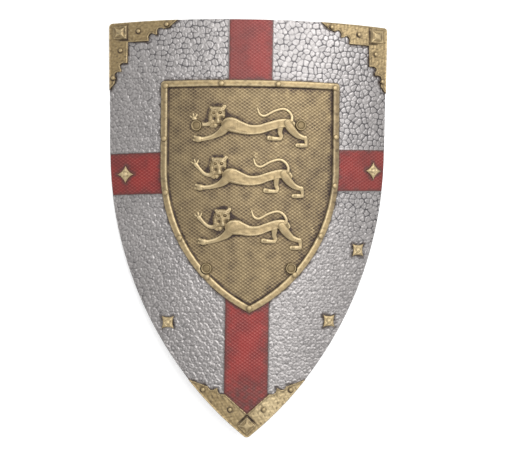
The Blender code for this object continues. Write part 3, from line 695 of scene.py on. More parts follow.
def into_cross(points):
    """How far inside the sunk cross each point lies, negative outside."""
    x, y = points[:, 0], points[:, 1]
    stem = STEM_HALF_WIDTH - np.abs(x * math.cos(STEM_LEAN) - y * math.sin(STEM_LEAN))
    over = y * math.cos(ARM_RISE) - x * math.sin(ARM_RISE)
    arms = np.minimum(over - ARM_BOTTOM, ARM_TOP - over)
    return np.maximum(stem, arms)


def cross_lines(inset):
    """Points along the long edges of the cross, moved inward by an inset."""
    along = np.arange(-CROSS_REACH, CROSS_REACH, EDGE_PITCH)
    lines = []
    for side in (-1, 1):
        aside = side * (STEM_HALF_WIDTH - inset)
        lines.append(np.column_stack([
            along * math.sin(STEM_LEAN) + aside * math.cos(STEM_LEAN),
            along * math.cos(STEM_LEAN) - aside * math.sin(STEM_LEAN),
        ]))
    for over in (ARM_BOTTOM + inset, ARM_TOP - inset):
        lines.append(np.column_stack([
            along * math.cos(ARM_RISE) - over * math.sin(ARM_RISE),
            along * math.sin(ARM_RISE) + over * math.cos(ARM_RISE),
        ]))
    return np.vstack(lines)


def near_brass(points):
    """Distance from each point of the face to the nearest brass mount or free star."""
    gap = -inset_of(points, ESCUTCHEON_LOOP)
    for loop in (*CORNER_LOOPS.values(), CHAPE_LOOP):
        gap = np.minimum(gap, -inset_of(points, loop))
    for x, y, turn in STARS.values():
        star = star_outline(STAR_RADIUS, STAR_WAIST, math.radians(turn), 3) + (x, y)
        close = np.hypot(points[:, 0] - x, points[:, 1] - y) < 2 * STAR_RADIUS
        gap[close] = np.minimum(gap[close], -inset_of(points[close], star))
    return gap


def hammer_marks(points, size, seed):
    """Distance to the border of each hammer mark, its random tones and the way from its middle."""
    chance = np.random.default_rng(seed)
    reach = int(CROSS_REACH / size) + 4
    across = 2 * reach + 1
    grid = np.stack(np.meshgrid(np.arange(across), np.arange(across), indexing="ij"), axis=-1)
    shift = chance.uniform(-MARK_SHIFT_SHARE, MARK_SHIFT_SHARE, grid.shape)
    seeds = (grid - reach + shift) * size
    seeds[..., 0] += (grid[..., 1] % 2) * size / 2
    tones = chance.uniform(-1, 1, (across, across, 3))
    cell = np.rint(points / size).astype(int) + reach
    steps = [(i, j) for i in (-2, -1, 0, 1, 2) for j in (-2, -1, 0, 1, 2)]
    around = np.stack([seeds[cell[:, 0] + i, cell[:, 1] + j] for i, j in steps])
    gaps = np.linalg.norm(around - points, axis=2)
    best = gaps.argmin(axis=0)
    order = np.arange(len(points))
    own = around[best, order]
    apart = around - own
    length = np.linalg.norm(apart, axis=2)
    length[best, order] = np.inf
    apart[best, order] = 0
    border = ((around + own) / 2 - points) * apart
    border = border.sum(axis=2) / length
    border[best, order] = np.inf
    border = -MARK_SOFTNESS * np.log(np.exp(-border / MARK_SOFTNESS).sum(axis=0))
    steps = np.array(steps)[best]
    own_tones = tones[cell[:, 0] + steps[:, 0], cell[:, 1] + steps[:, 1]]
    return border, own_tones, points - own


def swell(points, name, shift=0):
    """One of the gentle swells at each point, about plus or minus one, from crossed waves."""
    size, seed = SWELLS[name]
    chance = np.random.default_rng(seed + shift)
    total = np.zeros(len(points))
    for _ in range(WAVES):
        turn = chance.uniform(0, 2 * math.pi)
        wave = size * chance.uniform(0.7, 1.5)
        way = np.array([math.cos(turn), math.sin(turn)]) * 2 * math.pi / wave
        total += np.sin(points @ way + chance.uniform(0, 2 * math.pi))
    return total / math.sqrt(WAVES)


def hammering(points):
    """How far each point of the steel is worked over again, and how rough it is."""
    x, y = points.T
    worked = 1 - eased(y + 0.8 * x, 50, 190)
    rough = 1 + worked * (0.4 + 0.7 * eased(-x, 0, 140))
    return worked, rough - 0.7 * hump(x, 90, 110) * eased(y, 40, 130)


def facing(offsets, way, least):
    """How far each offset from a middle points one way; least is the shortest that counts full."""
    return (offsets @ way) / np.maximum(np.linalg.norm(offsets, axis=1), least)


def chip_line(chips):
    """Fine line between the chips, from 0 on them to 1 on their borders."""
    return 1 - eased(chips[0], 0.0, CHIP_LINE)


def steel_height(points, sizes, marks, chips):
    """Height of the hammered steel: tilted marks, chips, ripples and the grooves between."""
    x, y = points.T
    border, tones, way = marks
    _, rough = hammering(points)
    slant = 0.012 + 0.075 * eased(-x, -150, 40)
    tilt = (tones[:, :2] * way).sum(axis=1) * sizes.mark_tilt + slant * (way @ SLANT_WAY)
    tilt += rough * (CHIP_HEIGHT * chips[1][:, 0] - CHIP_LINE_DEPTH * chip_line(chips))
    tilt += RIPPLE_HEIGHT * rough * swell(points, "ripple")
    groove = 1 - np.clip(border / (MARK_BORDER_SHARE * (sizes.mark_size / MM)), 0, 1)
    calm = 0.35 * hump(x, -205, 85) * hump(y, 90, 150)
    depth = sizes.groove_depth / MM * (1 - calm)
    return (tilt - MARK_SINK) * (1 - groove) - depth * groove ** 2


def steel_groove_dark_and_shade(points, sizes, marks):
    """Uneven dark metal and painted shade in the grooves, with painted light on lit sides of worked
    marks.
    """
    worked, _ = hammering(points)
    dark = 1 - eased(marks[0], 0.0, sizes.groove_width / MM)
    dark *= np.clip(0.88 + 0.35 * swell(points, "groove"), 0.2, 1.2) * (1 - 0.25 * worked)
    # Painted light: the grooves are lighter on the side of a mark that faces the light.
    lit = eased(facing(marks[2], SLANT_WAY, 0.3), -0.3, 0.6)
    return dark * ((1 + 0.3 * (1 - worked)) * (1 - 0.7 * worked * lit))


def steel_tone_and_painted_light(points, marks, chips):
    """Brightness of the steel: each mark its own tone, with painted light, shade and glints."""
    x, _ = points.T
    worked, rough = hammering(points)
    tone_and_painted_light = 0.7 * (marks[1][:, 2] + rough * swell(points, "ripple"))
    tone_and_painted_light -= 0.4 * rough * chip_line(chips)
    # Painted shade: darker right of the middle and over the worked lower left.
    tone_and_painted_light -= 0.5 * eased(x, 0, 100) + 0.45 * worked
    # Painted light: lighter at the upper left and at the far right near the top.
    tone_and_painted_light += (1 - worked) * (0.75 * eased(-x, 0, 90) + 0.3 * eased(x, 90, 130))
    # Painted glints: bright edges of the marks and chips on the side that faces the light.
    painted_glint = worked * (1 + 0.45 * eased(-x, 0, 110))
    for share, reach, (border, _, way) in ((2.6, (0.2, 1.9), marks), (1.5, (0.0, 1.0), chips)):
        tone_and_painted_light += share * painted_glint * (1 - eased(border, *reach)) * facing(way, SLANT_WAY, 0.3)
    return tone_and_painted_light


def steel_wash_and_shade(points, inside):
    """Brown wash and painted shade on the steel beside the brass and along the walls of the cross.
    """
    reach = np.clip(4.4 + 1.3 * swell(points, "brass_shadow"), 2, 8)
    # Painted shade close beside the raised brass.
    wash_and_shade = 1 - eased(near_brass(points) / reach, 0.3, 1)
    wash_and_shade *= np.clip(0.8 + 0.4 * swell(points, "steel_wash_and_shade"), 0.2, 1)
    # Painted shade along the steel edge of the sunk cross.
    return np.maximum(wash_and_shade, 0.4 * (1 - eased(-inside, 0.3, 1.6)) * (inside < 0))


def field_top(sizes):
    """Surface of the plate: hammer marks on the steel, and the plain floor of the cross."""
    size = sizes.mark_size / MM

    def top(points):
        drift = [swell(points, "drift_across"), swell(points, "drift_along")]
        drifted = points + np.column_stack(drift)
        marks = hammer_marks(drifted, size, MARK_SEED)
        chips = hammer_marks(drifted, CHIP_SHARE * size, CHIP_SEED)
        inside = into_cross(points)
        edge = 1 - eased(-inside, 0.0, 1.4)
        floor = (-CROSS_DEPTH - 0.05) * eased(inside, 0.0, CROSS_WALL)
        steel = steel_height(points, sizes, marks, chips) * (1 - edge) - 0.05 * edge
        return np.where(inside > 0, floor, steel), {
            "groove": steel_groove_dark_and_shade(points, sizes, marks) * (1 - edge),
            "tone_and_painted_light": steel_tone_and_painted_light(points, marks, chips),
            "wash_and_shade": steel_wash_and_shade(points, inside),
        }
    return top


def diamond_size(sizes):
    """Width and height of a diamond of the knurling, in millimetres."""
    return sizes.diamond_across / MM, sizes.diamond_along / MM


def diamond_ridges(points, across, along):
    """Height from 0 in the pits to 1 on the ridges of a diamond pattern, and its crossings."""
    rising = points[:, 0] / across + points[:, 1] / along
    falling = points[:, 0] / across - points[:, 1] / along
    one, other = (1 - np.clip(np.abs(way - np.rint(way)) / RIDGE_HALF_SHARE, 0, 1)
                  for way in (rising, falling))
    return np.maximum(one, other), one * other


def enamel_wash_and_shade(points, inside):
    """Brown wash and painted shade on the enamel: ragged borders, dark ends of the arms and foot of
    the stem.
    """
    x, y = points.T
    ragged = np.clip(1 + 0.45 * swell(points, "panel_border"), 0.55, 1.7)
    low = 1 - eased(y, -256, -190)
    # Painted shade: the enamel darker toward the top.
    dark = 0.14 * eased(y, -110, 20) + 0.1 * eased(y, 150, 240)
    # Darker on the left of the upper stem.
    dark += 0.3 * eased(y, 150, 200) * (1 - eased(x, -16, 12))
    dark += 0.22 * eased(x, 150, 170) + 0.22 * eased(-x, 160, 178)
    washes = [
        1 - eased(inside, 0.4, 6.5 * ragged),
        0.55 * (1 - eased(inside, 2.0, 13.0 * ragged)),
        # Painted shadow beside the brass.
        1 - eased(near_brass(points), 0.5, 7.0 * ragged),
        np.clip(0.85 * low * ragged, 0, 1),
        dark,
    ]
    return np.maximum.reduce(washes)


def enamel_top(sizes):
    """Surface of the enamelled panels: worn ridges of a diamond pattern."""
    def top(points):
        ridge, crossing = diamond_ridges(points, *diamond_size(sizes))
        inside = into_cross(points)
        fade = eased(inside, 1.0, 3.0)
        heights = PANEL_TOP + sizes.ridge_height / MM * ridge * fade
        heights += 0.05 * swell(points, "panel")
        worn = (0.6 * ridge + 0.4 * crossing) * fade
        return heights, {"ridge": worn, "wash_and_shade": enamel_wash_and_shade(points, inside)}
    return top


def turned(points, centre, turn):
    """Places across and along a direction that is turned about a centre."""
    x, y = (points - centre).T
    return x * math.cos(turn) + y * math.sin(turn), y * math.cos(turn) - x * math.sin(turn)


def smooth_path(knots, detail):
    """Points of a smooth line through the knots, with detail points for each stretch."""
    padded = [knots[0], *knots, knots[-1]]
    path = []
    for before, start, end, after in zip(padded, padded[1:], padded[2:], padded[3:]):
        before, start, end, after = (np.array(knot, float) for knot in (before, start, end, after))
        for step in range(detail):
            t = step / detail
            bend = 2 * before - 5 * start + 4 * end - after
            twist = 3 * start - before - 3 * end + after
            path.append(start + ((end - before) * t + bend * t ** 2 + twist * t ** 3) / 2)
    path.append(np.array(knots[-1], float))
    return np.array(path)


def stroke(points, knots, flatten, detail=4):
    """Height of a rounded, tapered limb over each point, and how far across it the point lies.

    Each knot of the limb holds x, y and half its width there.
    """
    path = smooth_path(knots, detail)
    height = np.full(len(points), -1.0)
    share_across = np.full(len(points), 9.0)
    for start, end in zip(path, path[1:]):
        run = end[:2] - start[:2]
        off = points - start[:2]
        share = np.clip(off @ run / max(run @ run, 1e-9), 0, 1)
        width = start[2] + share * (end[2] - start[2])
        aside = np.linalg.norm(off - share[:, None] * run, axis=1) / width
        level = flatten * width * np.sqrt(np.clip(1 - aside ** 3.5, 0, None))
        level = np.where(aside < 1, level, -1.0)
        height = np.maximum(height, level)
        share_across = np.minimum(share_across, aside)
    return height, share_across


def swelling(points, x, y, half_width, half_length, height, turn=0.0, power=2.4):
    """Height of a rounded swelling over each point; a high power makes it boxy."""
    across, along = turned(points, (x, y), turn)
    away = np.abs(across / half_width) ** power + np.abs(along / half_length) ** power
    return np.where(away < 1, height * np.sqrt(np.clip(1 - away, 0, None)), -1.0)


def ball(points, x, y, radius):
    """Soft round bump of height 1 at a place."""
    return np.exp(-((points - (x, y)) ** 2).sum(axis=1) / radius ** 2)


def joined(parts, softness=0.45):
    """Greatest of several heights, with soft fillets where they meet."""
    parts = np.stack(parts)
    parts = np.where(parts > 0, parts, -4.0)
    return softness * np.log(np.exp(parts / softness).sum(axis=0))


def lion_body(points, trunk, back_rise):
    """Height of the chest, waist and rump, with a ridge along the back and the belly."""
    lift = back_rise * eased(points[:, 0], 0.12 * trunk, 0.32 * trunk)
    points = points - np.column_stack([np.zeros(len(points)), lift])
    spine = (
        (0.11, -12.6, 7.4), (0.18, -12.9, 11.0), (0.31, -17.4, 9.5), (0.43, -20.2, 7.8),
        (0.57, -19.3, 7.2), (0.7, -14.7, 6.9), (0.85, -10.5, 7), (0.96, -10, 6.4), (1.02, -13, 4.5),
    )
    body, aside = stroke(points, [(share * trunk, y, width) for share, y, width in spine], 0.42)
    x, y = points.T
    carved = 0.6 * hump(aside, 0.8, 0.14)
    carved -= 0.7 * hump(aside, 0.1, 0.45) * hump(x / trunk, 0.5, 0.3)
    carved += 0.7 * ball(points, 0.17 * trunk, -15, 7) + 0.7 * ball(points, 0.9 * trunk, -12, 8)
    shoulder = np.hypot(x - 0.14 * trunk, y + 15)
    carved -= 0.3 * hump(shoulder, 12.5, 1.8) * eased(x, 0.16 * trunk, 0.3 * trunk)
    carved += 0.08 * swell(points * (0.6, 1.0), "hide")
    return body + carved * (body > 0)


def lion_hindquarters(points, drop):
    """Heights of the hind legs and the tail, about the rump."""
    stretched = [(-7, -7, 6.4), (-3, -13, 6.6), (3, -20, 5.6), (9, -24.6, 4.6), (19, -28, 3.6)]
    shin = [(19, -27, 3.5), (20.2, -33, 2.9), (19.6, -38.2, 3.1)]
    foot = [(20, -38.2, 3.3), (13, -38.4, 3.8), (7, -38.2, 3.3)]
    tucked = [(-17, -13, 4.8), (-17.5, -21 - drop / 2, 3.8), (-15.6, -27 - drop, 3.4),
              (-19, -29.6 - drop, 3)]
    tucked_foot = [(-17, -29.6 - drop, 3), (-26, -29.4 - drop, 3.5), (-33.4, -28.4 - drop, 4.1)]
    tail = [(-1, -3, 3.0), (-0.6, 3, 2.5), (-5, 10, 2.3), (-13.6, 13.6, 2.3), (-26.3, 10, 2.3),
            (-39.4, 3.1, 2.2), (-47, 5.9, 2.1), (-49.9, 14.3, 1.3)]
    limbs = [stroke(points, knots, 0.72)[0] for knots in (stretched, tucked)]
    limbs += [stroke(points, knots, 0.9)[0] for knots in (shin, foot, tucked_foot)]
    limbs.append(stroke(points, tail, 1.1)[0])
    toes = np.zeros(len(points))
    for x, y in ((8.2, -38.4), (10.6, -38.4), (-32.2, -28.4 - drop), (-29.6, -28.4 - drop)):
        toes += 0.9 * hump(points[:, 0], x, 0.5) * hump(points[:, 1], y, 2.6)
    return [limb - toes * (limb > 0) for limb in limbs]


def lion_forelegs(points, paw_drop, rise):
    """Heights of the raised foreleg with its claws and of the lower one with its round paw."""
    raised = [(-7, -9, 4), (-13, -12.6, 3.4), (-20, -11 - paw_drop / 3, 2.8),
              (-27, -4.5 - paw_drop, 2.7), (-33, 2.4 - paw_drop, 3.6)]
    claws = (
        [(-32.5, 1, 2.2), (-39, 6, 1.2)],
        [(-33, 2, 2.2), (-34.8, 9.6, 1.2)],
        [(-32, 1.6, 2.2), (-29.4, 8.4, 1.2)],
    )
    lower = [(17, -10.5, 7.2), (11.5, -17.5, 7.2), (5.5, -24, 5.9), (-1, -28, 4.5),
             (-9, -31.4, 3.7), (-18, -33.6, 3.4), (-22, -34.2, 3.6)]
    lower = [(x, y + rise * min(1, max(0, (13 - x) / 35)), width) for x, y, width in lower]
    toes = (
        [(-27, rise - 32.6, 3.3), (-32.2, rise - 30.6, 2.3)],
        [(-27, rise - 35.6, 3.3), (-33, rise - 35.2, 2.3)],
    )
    limbs = [stroke(points, raised, 0.85)[0], stroke(points, lower, 0.66)[0]]
    dropped = points + (0, paw_drop)
    limbs += [stroke(dropped, claw, 0.95, detail=1)[0] for claw in claws]
    limbs += [stroke(points, toe, 0.95, detail=1)[0] for toe in toes]
    limbs.append(swelling(points, -26.5, rise - 34.2, 5.6, 5.1, 4.2))
    return limbs


def lion_head(points):
    """Height of the broad head with its mane, brow, eyes, muzzle and small round ears."""
    x, y = points.T
    ears = np.maximum(
        stroke(points, [(-6.8, 8.4, 3.6), (-8.4, 10.2, 2.7)], 0.9, detail=1)[0],
        stroke(points, [(7.2, 8.8, 4.2), (10.3, 12.8, 2.7)], 0.82, detail=1)[0],
    )
    ears -= 1.0 * (ball(points, -8.8, 10.8, 1.3) + ball(points, 10.3, 12.4, 1.4)) * (ears > 0)
    face = swelling(points, -1.6, -1.4, 11.2, 14.0, 3.4, math.radians(-9), power=2.8)
    skull = swelling(points, 0.1, 2.4, 11.2, 10.4, 3.9, power=3.5)
    mane = swelling(points, -5.0, -7.6, 8.2, 11.2, 3.5, math.radians(-8))
    locks = np.cos(2 * math.pi * (x + 0.35 * y + 0.8 * swell(points, "mane")) / 3.1) ** 2
    shaggy = 1 - eased(x + 0.22 * y, -8.2, -5.2)
    mane -= 0.45 * locks * shaggy * (mane > 0)
    jaw = swelling(points, 0.8, -5.6, 7.4, 8.6, 4.2)
    muzzle = swelling(points, 1.1, -8.0, 3.7, 5.2, 5.7, math.radians(5), power=2.3)
    height = joined([ears, face, skull, mane, jaw, muzzle], 0.35)
    bridge = hump(x, -0.4 - 0.16 * y, 2.0) * eased(y, -9, -4) * (1 - eased(y, 0, 6))
    brow = hump(y, 7.4 - 0.04 * (x + 0.8) ** 2, 1.5) * hump(x, 0.5, 8.5)
    carved = 0.45 * bridge + 0.35 * brow - 0.9 * hump(y, -12.6, 0.9) * hump(x, 0.6, 4.0)
    carved += 0.9 * ball(points, 4.6, 8.4, 3.8) - 0.6 * hump(x + 0.22 * y, -8.6, 0.9) * shaggy
    carved -= 1.9 * ball(points, -4.6, -5.0, 2.9) + 2.0 * ball(points, 6.2, -4.6, 3.0)
    for eye_x, eye_y in ((-5.5, 3.2), (3.8, 3.6)):
        out = np.hypot((x - eye_x) / 1.25, y - eye_y)
        carved += 0.5 * hump(out, 0, 0.8) - 1.1 * hump(out, 1.35, 0.8) + 0.35 * hump(out, 2.5, 0.6)
    carved += 0.14 * swell(points, "face")
    return height + carved * (height > 0)


def lion_relief(points, head, trunk, paw_drop, leg_rise=0.0, foot_drop=0.0, back_rise=0.0):
    """Height of one walking lion over the ground at each point."""
    height = np.full(len(points), -1.0)
    low = np.add(head, LION_BOX[0])
    high = np.add(head, LION_BOX[1]) + (trunk, 0)
    near = ((points > low) & (points < high)).all(axis=1)
    spots = points[near] - head
    hind = lion_hindquarters(spots - (trunk, -RUMP_DROP), foot_drop)
    front = lion_forelegs(spots, paw_drop, leg_rise)
    body = joined([lion_body(spots, trunk, back_rise), *hind, *front])
    height[near] = np.maximum(body, lion_head(spots))
    return height


def from_heads(points):
    """Distance from each point to the middle of the nearest lion's head."""
    return np.min([np.linalg.norm(points - lion["head"], axis=1) for lion in LIONS], axis=0)


def near_heads(points):
    """Whether each point lies on or beside a lion's head."""
    gaps = [np.abs(points - lion["head"] - HEAD_MIDDLE) for lion in LIONS]
    return np.any([(gap < HEAD_BOX).all(axis=1) for gap in gaps], axis=0)


def all_lions(points):
    """Height of the three lions, zero or less outside them."""
    return np.maximum.reduce([lion_relief(points, **lion) for lion in LIONS]) - LION_SINK


def escutcheon_height(points, diamond):
    """Height of the rim, the diamond ground and the lions."""
    inset = inset_of(points, ESCUTCHEON_LOOP)
    rim = np.interp(inset, RIM_INSETS, RIM_HEIGHTS)
    rim += 0.06 * swell(points, "rim") + 0.07 * swell(points, "rim_fine")
    lions = np.maximum(all_lions(points), 0)
    ridge, _ = diamond_ridges(points, *diamond)
    ridge *= eased(inset, RIM_WIDTH + 0.6, RIM_WIDTH + 2.4)
    ground = GROUND_FLOOR + GROUND_RIDGE * ridge + 0.08 * swell(points, "ground")
    raised = GROUND_HEIGHT + lions
    height = np.where(inset < RIM_INSETS[-1], rim, np.where(lions > 0, raised, ground))
    for x, y in STUDS.values():
        away = np.hypot(points[:, 0] - x, points[:, 1] - y)
        height = np.where(away < STUD_POCKET, np.minimum(height, STUD_POCKET_FLOOR), height)
    return height


def blurred(picture, reach):
    """A grid of heights, averaged over a reach of cells each way."""
    for _ in range(BLUR_ROUNDS):
        for axis in (0, 1):
            padded = np.pad(picture, [(reach + 1, reach) if a == axis else (0, 0) for a in (0, 1)],
                            mode="edge")
            total = np.cumsum(padded, axis=axis)
            size = 2 * reach + 1
            ahead = np.take(total, range(size, total.shape[axis]), axis=axis)
            behind = np.take(total, range(0, total.shape[axis] - size), axis=axis)
            picture = (ahead - behind) / size
    return picture


def sampled(picture, low, pitch, points):
    """Values of a grid at points between its cells."""
    place = (points - low) / pitch
    cell = np.clip(np.floor(place).astype(int), 0, np.array(picture.shape) - 2)
    u, v = np.clip(place - cell, 0, 1).T
    i, j = cell.T
    near = picture[i, j] * (1 - v) + picture[i, j + 1] * v
    far = picture[i + 1, j] * (1 - v) + picture[i + 1, j + 1] * v
    return near * (1 - u) + far * u


def lie_of(height_at, points, pitch=1.0, margin=8.0, deep=1.6):
    """Shares by which each point lies below its surroundings and stands proud of them."""
    low = points.min(axis=0) - margin
    counts = np.ceil((points.max(axis=0) + margin - low) / pitch).astype(int)
    i, j = np.meshgrid(np.arange(counts[0]), np.arange(counts[1]), indexing="ij")
    grid = low + np.stack([i.ravel(), j.ravel()], axis=1) * pitch
    relief = height_at(grid).reshape(counts)
    height = height_at(points)
    wide, narrow = (sampled(blurred(relief, reach), low, pitch, points) for reach in (3, 1))
    return np.clip((wide - height) / deep, 0, 1), np.clip((height - narrow) / 0.5, 0, 1)


def rim_tarnish_and_shade(points):
    """Brown tarnish of the rim, with painted shade on its long sides and wash and painted shadow
    round its rivets.
    """
    x, y = points.T
    tarnish_and_shade = 0.32 * eased(swell(points, "rim_tarnish_and_shade"), 0.0, 1.6)
    # Painted shade: the long sides of the rim darker than its top.
    tarnish_and_shade += (0.42 * eased(x, 112, 122) + 0.22 * eased(-x, 110, 118)) * (y < 200)
    return np.maximum(tarnish_and_shade, 0.7 * ring_wash_and_shadow(points, rim_rivet_places(), RIM_RIVET_RADIUS))


def lion_painted_shadow(points):
    """Painted shadow on the ground close round the lions, shifted up and to the left, darkest by
    their heads.
    """
    painted_shadow, _ = lie_of(lambda spots: np.maximum(all_lions(spots + PAINTED_SHADOW_SHIFT), 0), points, 1.5)
    painted_shadow = eased(painted_shadow, 0.08, 0.62) * np.clip(0.86 + 0.2 * swell(points, "painted_shadow"), 0.5, 1)
    return painted_shadow * (1 - 0.32 * eased(from_heads(points), 16, 28))


def ground_stain_and_shade(points, inset, ridge, painted_shadow):
    """Brown wash and painted shade of the knurled ground: its pits, its patches and shade beside
    the rim.
    """
    x, y = points.T
    pits = np.clip(0.62 + 0.1 * swell(points, "ground_pits"), 0.3, 0.8)
    pits *= 1 - 0.35 * (1 - eased(y - 0.9 * x, -80, 10))
    stain_and_shade = 0.38 + 0.14 * eased(swell(points, "ground_stain_and_shade"), -0.6, 1.8)
    stain_and_shade += 0.06 * (1 - eased(y, 100, 180)) + 0.22 * hump(x, -90, 50) * eased(y, 90, 170)
    stain_and_shade += 0.1 * eased(x, 30, 90) * (1 - eased(y, 90, 150))
    # Painted shade on the ground beside the rim, on its right side.
    rim_shade_reach = RIM_WIDTH + 11 + 4 * swell(points, "rim_shade")
    stain_and_shade += 0.38 * (1 - eased(inset, RIM_WIDTH + 1, rim_shade_reach)) * eased(x, -20, 90)
    stain_and_shade = np.maximum(stain_and_shade, painted_shadow)
    stain_and_shade = np.clip(stain_and_shade * (1.25 - 0.6 * ridge * (1 - painted_shadow)), 0, 1)
    stain_and_shade = np.maximum(stain_and_shade, ring_wash_and_shadow(points, STUDS.values(), STUD_POCKET))
    return np.maximum(stain_and_shade, pits * (1 - ridge) ** 0.7)


def escutcheon_top(sizes):
    """Surface of the escutcheon and its traits."""
    diamond = diamond_size(sizes)

    def height_at(points):
        return escutcheon_height(points, diamond)

    def top(points):
        heights = height_at(points)
        sunk, proud = lie_of(height_at, points, deep=1.2)
        inset = inset_of(points, ESCUTCHEON_LOOP)
        ridge, crossing = diamond_ridges(points, *diamond)
        painted_shadow = lion_painted_shadow(points)
        band = (inset < RIM_WIDTH) & (heights > GROUND_HEIGHT)
        knurled = (inset > RIM_WIDTH) & (heights < GROUND_HEIGHT + 0.3)
        lion = (inset > RIM_WIDTH) & (heights > GROUND_HEIGHT + 0.6)

        # Painted highlight along the lions' backs and a bright line under their bellies.
        back = 1 - eased(all_lions(points + BACK_BAND), 0.2, 1.4)
        belly = 1 - eased(all_lions(points - BELLY_LINE), 0.2, 1.2)
        lit = np.maximum(back, belly)
        furred = 0.22 * eased(swell(points, "fur"), -1.2, 1.2) * (1 - lit)
        soaked = np.where(near_heads(points), 0.85, 0.42)
        sunk = np.where(lion, np.maximum(soaked * sunk, furred), sunk)
        proud = np.where(lion, np.maximum(proud, np.maximum(lit, 0.24) * (1 - sunk)), proud)

        sunk = np.where(band, np.maximum(sunk, rim_tarnish_and_shade(points)), sunk)
        sunk = np.maximum(sunk, knurled * ground_stain_and_shade(points, inset, ridge, painted_shadow))
        proud = np.maximum(proud, 0.7 * hump(inset, 8.3, 0.6))
        proud = np.where(knurled, (0.1 * ridge + 0.9 * crossing) * (1 - painted_shadow), proud)
        return heights, {"wash_and_shade": sunk, "wear_and_highlight": proud}
    return top


def block_height(points, centre, turn):
    """Height of a square block with a raised star, and how far inside both a point lies."""
    across, along = turned(points, centre, turn)
    square = BLOCK_HALF - np.maximum(np.abs(across), np.abs(along))
    block = np.interp(square, (0, 0.7, 1.6), (1.2, BLOCK_HEIGHT - 0.3, BLOCK_HEIGHT - 0.5))
    star = star_outline(BLOCK_STAR_RADIUS, BLOCK_STAR_WAIST, turn + math.pi / 4) + centre
    into_star = inset_of(points, star)
    raised = BLOCK_HEIGHT - 0.4 + np.clip(into_star * 0.8, 0, BLOCK_STAR_RISE)
    block = np.where(into_star > 0, np.maximum(raised, block), block)
    return np.where(square > 0, block, -9.0), square, into_star


def ring_wash_and_shadow(points, places, radius):
    """Brown wash and painted shadow round domed heads, darkest on the side away from the light."""
    stain_and_shade = np.zeros(len(points))
    for place in places:
        away = np.maximum(np.linalg.norm(points - place, axis=1), 1)
        low_side = 0.5 - 0.5 * facing(points - place, SLANT_WAY, 1)
        stain_and_shade = np.maximum(stain_and_shade, hump(away, radius + 0.8, 1.2) * (0.35 + 0.65 * low_side))
    return stain_and_shade


def mount_top(loop, centre, turn, rivets, seed):
    """Surface of a mount with its raised lip and star block, and its traits."""
    inward = -np.array(centre) * BLOCK_GAP_LEAN
    inward /= np.linalg.norm(inward)

    def gap_side(points):
        return eased(facing(points - centre, inward, 1), -0.2, 0.7)

    def height_at(points):
        height = np.interp(into_mount(points, loop), MOUNT_INSETS, MOUNT_HEIGHTS)
        height += 0.1 * swell(points, "mount", seed) + 0.12 * swell(points, "mount_fine", seed)
        block, square, _ = block_height(points, centre, turn)
        height -= BLOCK_GAP_DEPTH * hump(square, -1.1, 1.0) * gap_side(points)
        return np.maximum(height, block)

    def top(points):
        sunk, proud = lie_of(height_at, points, 0.7, 2.0)
        inset = inset_of(points, loop)
        patchy = eased(swell(points, "mount_patches", seed), -1, 1)
        mottled = 0.45 * eased(swell(points, "mount_mottle", seed), 0.2, 1.5)
        stained_and_shaded = np.maximum(0.45 * hump(inset, 2.4, 1.0) * patchy, mottled)
        stained_and_shaded = np.maximum(stained_and_shaded, ring_wash_and_shadow(points, rivets, SMALL_RIVET_RADIUS))
        _, square, into_star = block_height(points, centre, turn)
        recess = eased(square, 0.6, 1.6) * (1 - eased(into_star, -0.6, 0.4))
        stained_and_shaded = np.maximum(stained_and_shaded, 0.6 * recess * patchy)
        stained_and_shaded = np.maximum(stained_and_shaded, 0.95 * hump(square, -1.5, 1.9) * gap_side(points))
        proud = np.maximum(proud, 0.5 * eased(into_star, 1.2, 2.6))
        worn = 0.5 * eased(swell(points, "mount_wear", seed), 0.7, 1.8)
        proud = np.maximum(proud, worn * (1 - stained_and_shaded))
        # Painted highlights: pools of light painted on the chape's right arm and the right corner
        # mount.
        for place, reach, share in PAINTED_HIGHLIGHTS:
            painted_highlight = share * hump(np.linalg.norm(points - place, axis=1), 0, reach)
            proud = np.maximum(proud, painted_highlight * (1 - stained_and_shaded))
        return height_at(points), {"wash_and_shade": np.maximum(sunk, stained_and_shaded), "wear_and_highlight": proud}
    return top


def star_top(loop):
    """Surface of a free star: ridged points and a round boss."""
    def height_at(points):
        inset = inset_of(points, loop)
        height = STAR_EDGE * eased(inset, -0.3, 0.5) + STAR_SLOPE * np.clip(inset, 0, None)
        away = np.hypot(points[:, 0], points[:, 1])
        boss = np.clip(1 - (away / (STAR_BOSS_RADIUS + 0.3)) ** 2, 0, None)
        height -= 1.0 * hump(away, STAR_BOSS_RADIUS + 0.9, 0.8)
        height += 0.12 * swell(points, "star") * eased(inset, 0, 1)
        return np.maximum(np.maximum(height, STAR_BOSS_HEIGHT * np.sqrt(boss)), 0.3)

    def top(points):
        sunk, proud = lie_of(height_at, points, 0.5, 2.0)
        mottled = 0.26 * eased(swell(points, "star_mottle"), 0.1, 1.5)
        ridge = eased(inset_of(points, loop), 1.2, 3.6)
        proud = np.maximum(proud, 0.45 + 0.5 * ridge)
        return height_at(points), {"wash_and_shade": np.maximum(0.75 * sunk, mottled), "wear_and_highlight": proud}
    return top


def add_node(tree, kind, inputs=(), **settings):
    """Add a shader node with its settings and input values."""
    node = tree.nodes.new(kind)
    for name, value in settings.items():
        setattr(node, name, value)
    for name, value in dict(inputs).items():
        node.inputs[name].default_value = value
    return node


def trait(tree, name):
    """A surface trait of the mesh."""
    return add_node(tree, "ShaderNodeAttribute", attribute_name=name).outputs["Fac"]


def noise(tree, size, detail=3.0):
    """Grain of a given size in metres, fixed to the piece."""
    place = add_node(tree, "ShaderNodeTexCoord")
    grain = add_node(tree, "ShaderNodeTexNoise",
                     {"Scale": 1 / size, "Detail": detail, "Roughness": 0.55})
    tree.links.new(place.outputs["Object"], grain.inputs["Vector"])
    return grain.outputs["Fac"]


